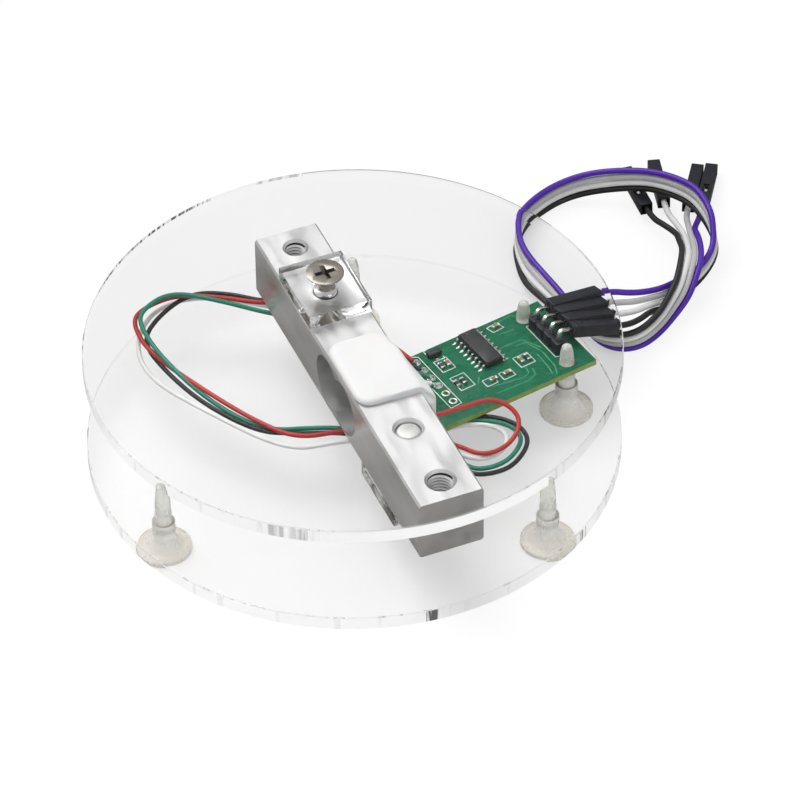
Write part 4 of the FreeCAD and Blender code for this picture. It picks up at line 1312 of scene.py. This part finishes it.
class LOADCELL_OT_connectors(bpy.types.Operator):
    """Dress the header, its pins, and the jumper sockets with their contacts"""

    bl_idname = "loadcell.connectors"
    bl_label = "Header and sockets"

    def execute(self, context):
        own = settings("plastic")
        black = plastic("black_moulding", own.moulding, rough=(0.42, 0.6), scale=500.0, grain=0.15)
        black.set(Specular_IOR_Level=0.35)
        tin = metal("tinned_pins", (0.75, 0.74, 0.70), rough=(0.18, 0.35), scale=900.0)
        dressed("header_block", "black_moulding", [black], edge=0.08 * MM)
        dressed("header_pins", "tinned_metal", [tin], edge=0.05 * MM)
        for place in ("board", "free"):
            dressed(place + "_contacts", "tinned_metal", [tin])
            for index, colour in enumerate(jumper_colours):
                piece = dressed(
                    place + "_socket_" + colour, "black_moulding", [black], edge=0.1 * MM)
                if place == "board":
                    self.turn_over(piece, *board_socket_line(index))
        return {"FINISHED"}

    def turn_over(self, piece, mouth, way):
        """Turn a socket half round its own axis, which puts its latch window underneath."""
        there = Matrix.Translation(mouth)
        piece.data.transform(there @ Matrix.Rotation(math.pi, 4, way) @ there.inverted())


class LOADCELL_OT_jumpers(bpy.types.Operator):
    """Lay the four jumper wires from the board sockets to the free ones"""

    bl_idname = "loadcell.jumpers"
    bl_label = "Jumper wires"

    def execute(self, context):
        own = settings("wires")
        for index, colour in enumerate(jumper_colours):
            points = jumper_points(index)
            piece = laid_wire(
                "jumper_wire_" + colour, colour + "_wire", points, own.jumper_diameter,
                "jumper_" + colour, getattr(own, colour))
        return {"FINISHED"}


class LOADCELL_OT_leads(bpy.types.Operator):
    """Lay the four leads from the gauges' silicone to the board's pads"""

    bl_idname = "loadcell.leads"
    bl_label = "Leads"

    def execute(self, context):
        own = settings("wires")
        for colour in lead_colours:
            points = lead_points(colour)
            piece = laid_wire(
                "lead_" + colour, colour + "_lead", points, own.lead_diameter,
                "lead_" + colour, getattr(own, colour))
        return {"FINISHED"}


# Stage

FLOOR_SIZE = 6.0
SENSOR_WIDTH = 36.0
CLIP_START = 0.01

# Lights: where they stand, their size, and what they are aimed at
KEY_PLACE = (-0.25, 0.55, 1.1)
KEY_SIZE = 0.9
FILL_PLACE = (0.45, -1.1, 0.35)
FILL_SIZE = 0.6
LIGHTS_AIM = Vector((0.0, 0.0, 0.02))

# What glossy surfaces see of the floor: warm patches between two shares of its brightness
MIRRORED_TINT = (1.0, 0.98, 0.94, 1.0)
MIRRORED_SCALE = 55.0
MIRRORED_LEAST = 0.45
MIRRORED_MOST = 1.7

# Height over the horizon, as a share of the way to the top, where the light all round is full
SKY_FULL = 0.55


class LOADCELL_OT_stage(bpy.types.Operator):
    """Set the floor, the soft studio light and the camera"""

    bl_idname = "loadcell.stage"
    bl_label = "Stage"

    def execute(self, context):
        own = settings("stage")
        bpy.ops.object.select_all(action="DESELECT")
        bpy.ops.mesh.primitive_plane_add(size=FLOOR_SIZE)
        floor = fresh("floor")
        finish = Finish("pale_floor")
        finish.colour(own.floor[:3], darker(own.floor, 0.99), scale=3.0)
        finish.roughness((0.8, 0.9), scale=5.0)
        finish.set(Specular_IOR_Level=0.1)
        self.glow(finish, own)
        floor.data.materials.append(finish.material)
        self.surroundings(own)
        self.light("key_light", KEY_PLACE, KEY_SIZE, own.key)
        self.light("front_light", FILL_PLACE, FILL_SIZE, own.fill)
        self.camera(own)
        context.scene.view_settings.view_transform = "Standard"
        return {"FINISHED"}

    def glow(self, finish, own):
        """Let the floor shine white straight at the viewer and through the plates, keep its faint
        shadows, and look darker in glossy surfaces, as the room beyond a white sweep does."""
        tree = finish.tree
        path = tree.nodes.new("ShaderNodeLightPath")
        rays = [
            ("Is Transmission Ray", own.through_share, own.through_glow),
            ("Is Camera Ray", own.seen_share, own.seen_glow),
            ("Glossy Depth", 1.0, own.mirrored),
        ]
        for ray, weight, strength in rays:
            lamp = tree.nodes.new("ShaderNodeEmission")
            lamp.inputs["Strength"].default_value = strength
            if ray == "Glossy Depth":
                lamp.inputs["Color"].default_value = MIRRORED_TINT
                patches = finish.effect(
                    "value", Scale=MIRRORED_SCALE, Low=MIRRORED_LEAST * strength,
                    High=MIRRORED_MOST * strength)
                tree.links.new(patches, lamp.inputs["Strength"])
            share = product(tree, path.outputs[ray], weight)
            finish.mixed_with(lamp.outputs["Emission"], share)

    def surroundings(self, own):
        """Soft light from all round, dimmer towards the horizon."""
        world = bpy.data.worlds.new("soft light all round")
        bpy.context.scene.world = world
        world.use_nodes = True
        tree = world.node_tree
        background = tree.nodes["Background"]
        background.inputs["Strength"].default_value = own.sky
        place = tree.nodes.new("ShaderNodeTexCoord")
        parts = tree.nodes.new("ShaderNodeSeparateXYZ")
        ramp = tree.nodes.new("ShaderNodeValToRGB")
        level, full = ramp.color_ramp.elements
        level.position = 0.0
        level.color = (own.horizon, own.horizon, own.horizon, 1.0)
        full.position = SKY_FULL
        full.color = (1.0, 1.0, 1.0, 1.0)
        tree.links.new(place.outputs["Generated"], parts.inputs["Vector"])
        tree.links.new(parts.outputs["Z"], ramp.inputs["Fac"])
        tree.links.new(ramp.outputs["Color"], background.inputs["Color"])

    def light(self, name, place, size, power):
        """A square soft light aimed at the object."""
        bpy.ops.object.light_add(type="AREA", location=place)
        light = bpy.context.active_object
        light.name = name
        light.data.size = size
        light.data.energy = power
        aim = LIGHTS_AIM - Vector(place)
        light.rotation_euler = aim.to_track_quat("-Z", "Y").to_euler()

    def camera(self, own):
        """The photograph's viewpoint."""
        bpy.ops.object.camera_add(location=own.place)
        camera = bpy.context.active_object
        camera.name = "photo_camera"
        camera.data.sensor_width = SENSOR_WIDTH
        camera.data.lens = own.lens
        camera.data.clip_start = CLIP_START
        aim = (Vector(own.aim) - Vector(own.place)).normalized()
        level = aim.to_track_quat("-Z", "Y").to_matrix().to_4x4()
        camera.matrix_world = (
            Matrix.Translation(own.place) @ level @ Matrix.Rotation(own.roll, 4, "Z"))
        bpy.context.scene.camera = camera


class LOADCELL_PT_panel(bpy.types.Panel):
    """The steps, in order"""

    bl_idname = "LOADCELL_PT_panel"
    bl_label = "Load cell"
    bl_space_type = "VIEW_3D"
    bl_region_type = "UI"
    bl_category = "Load cell"

    def draw(self, context):
        for step in STEPS:
            self.layout.operator(step.bl_idname)


STEPS = [
    LOADCELL_OT_plates, LOADCELL_OT_bar, LOADCELL_OT_screws, LOADCELL_OT_posts,
    LOADCELL_OT_silicone, LOADCELL_OT_board, LOADCELL_OT_small_parts, LOADCELL_OT_connectors,
    LOADCELL_OT_jumpers, LOADCELL_OT_leads, LOADCELL_OT_stage,
]


def register():
    """Register the settings, the steps and the panel."""
    for name, group in SETTINGS.items():
        bpy.utils.register_class(group)
        setattr(bpy.types.Scene, "load_cell_" + name, bpy.props.PointerProperty(type=group))
    for step in STEPS:
        bpy.utils.register_class(step)
    bpy.utils.register_class(LOADCELL_PT_panel)


def unregister():
    """Take them all away again."""
    bpy.utils.unregister_class(LOADCELL_PT_panel)
    for step in reversed(STEPS):
        bpy.utils.unregister_class(step)
    for name, group in SETTINGS.items():
        delattr(bpy.types.Scene, "load_cell_" + name)
        bpy.utils.unregister_class(group)


def main():
    """Run every step."""
    register()
    for step in STEPS:
        family, name = step.bl_idname.split(".")
        getattr(getattr(bpy.ops, family), name)()


if __name__ == "__main__":
    main()
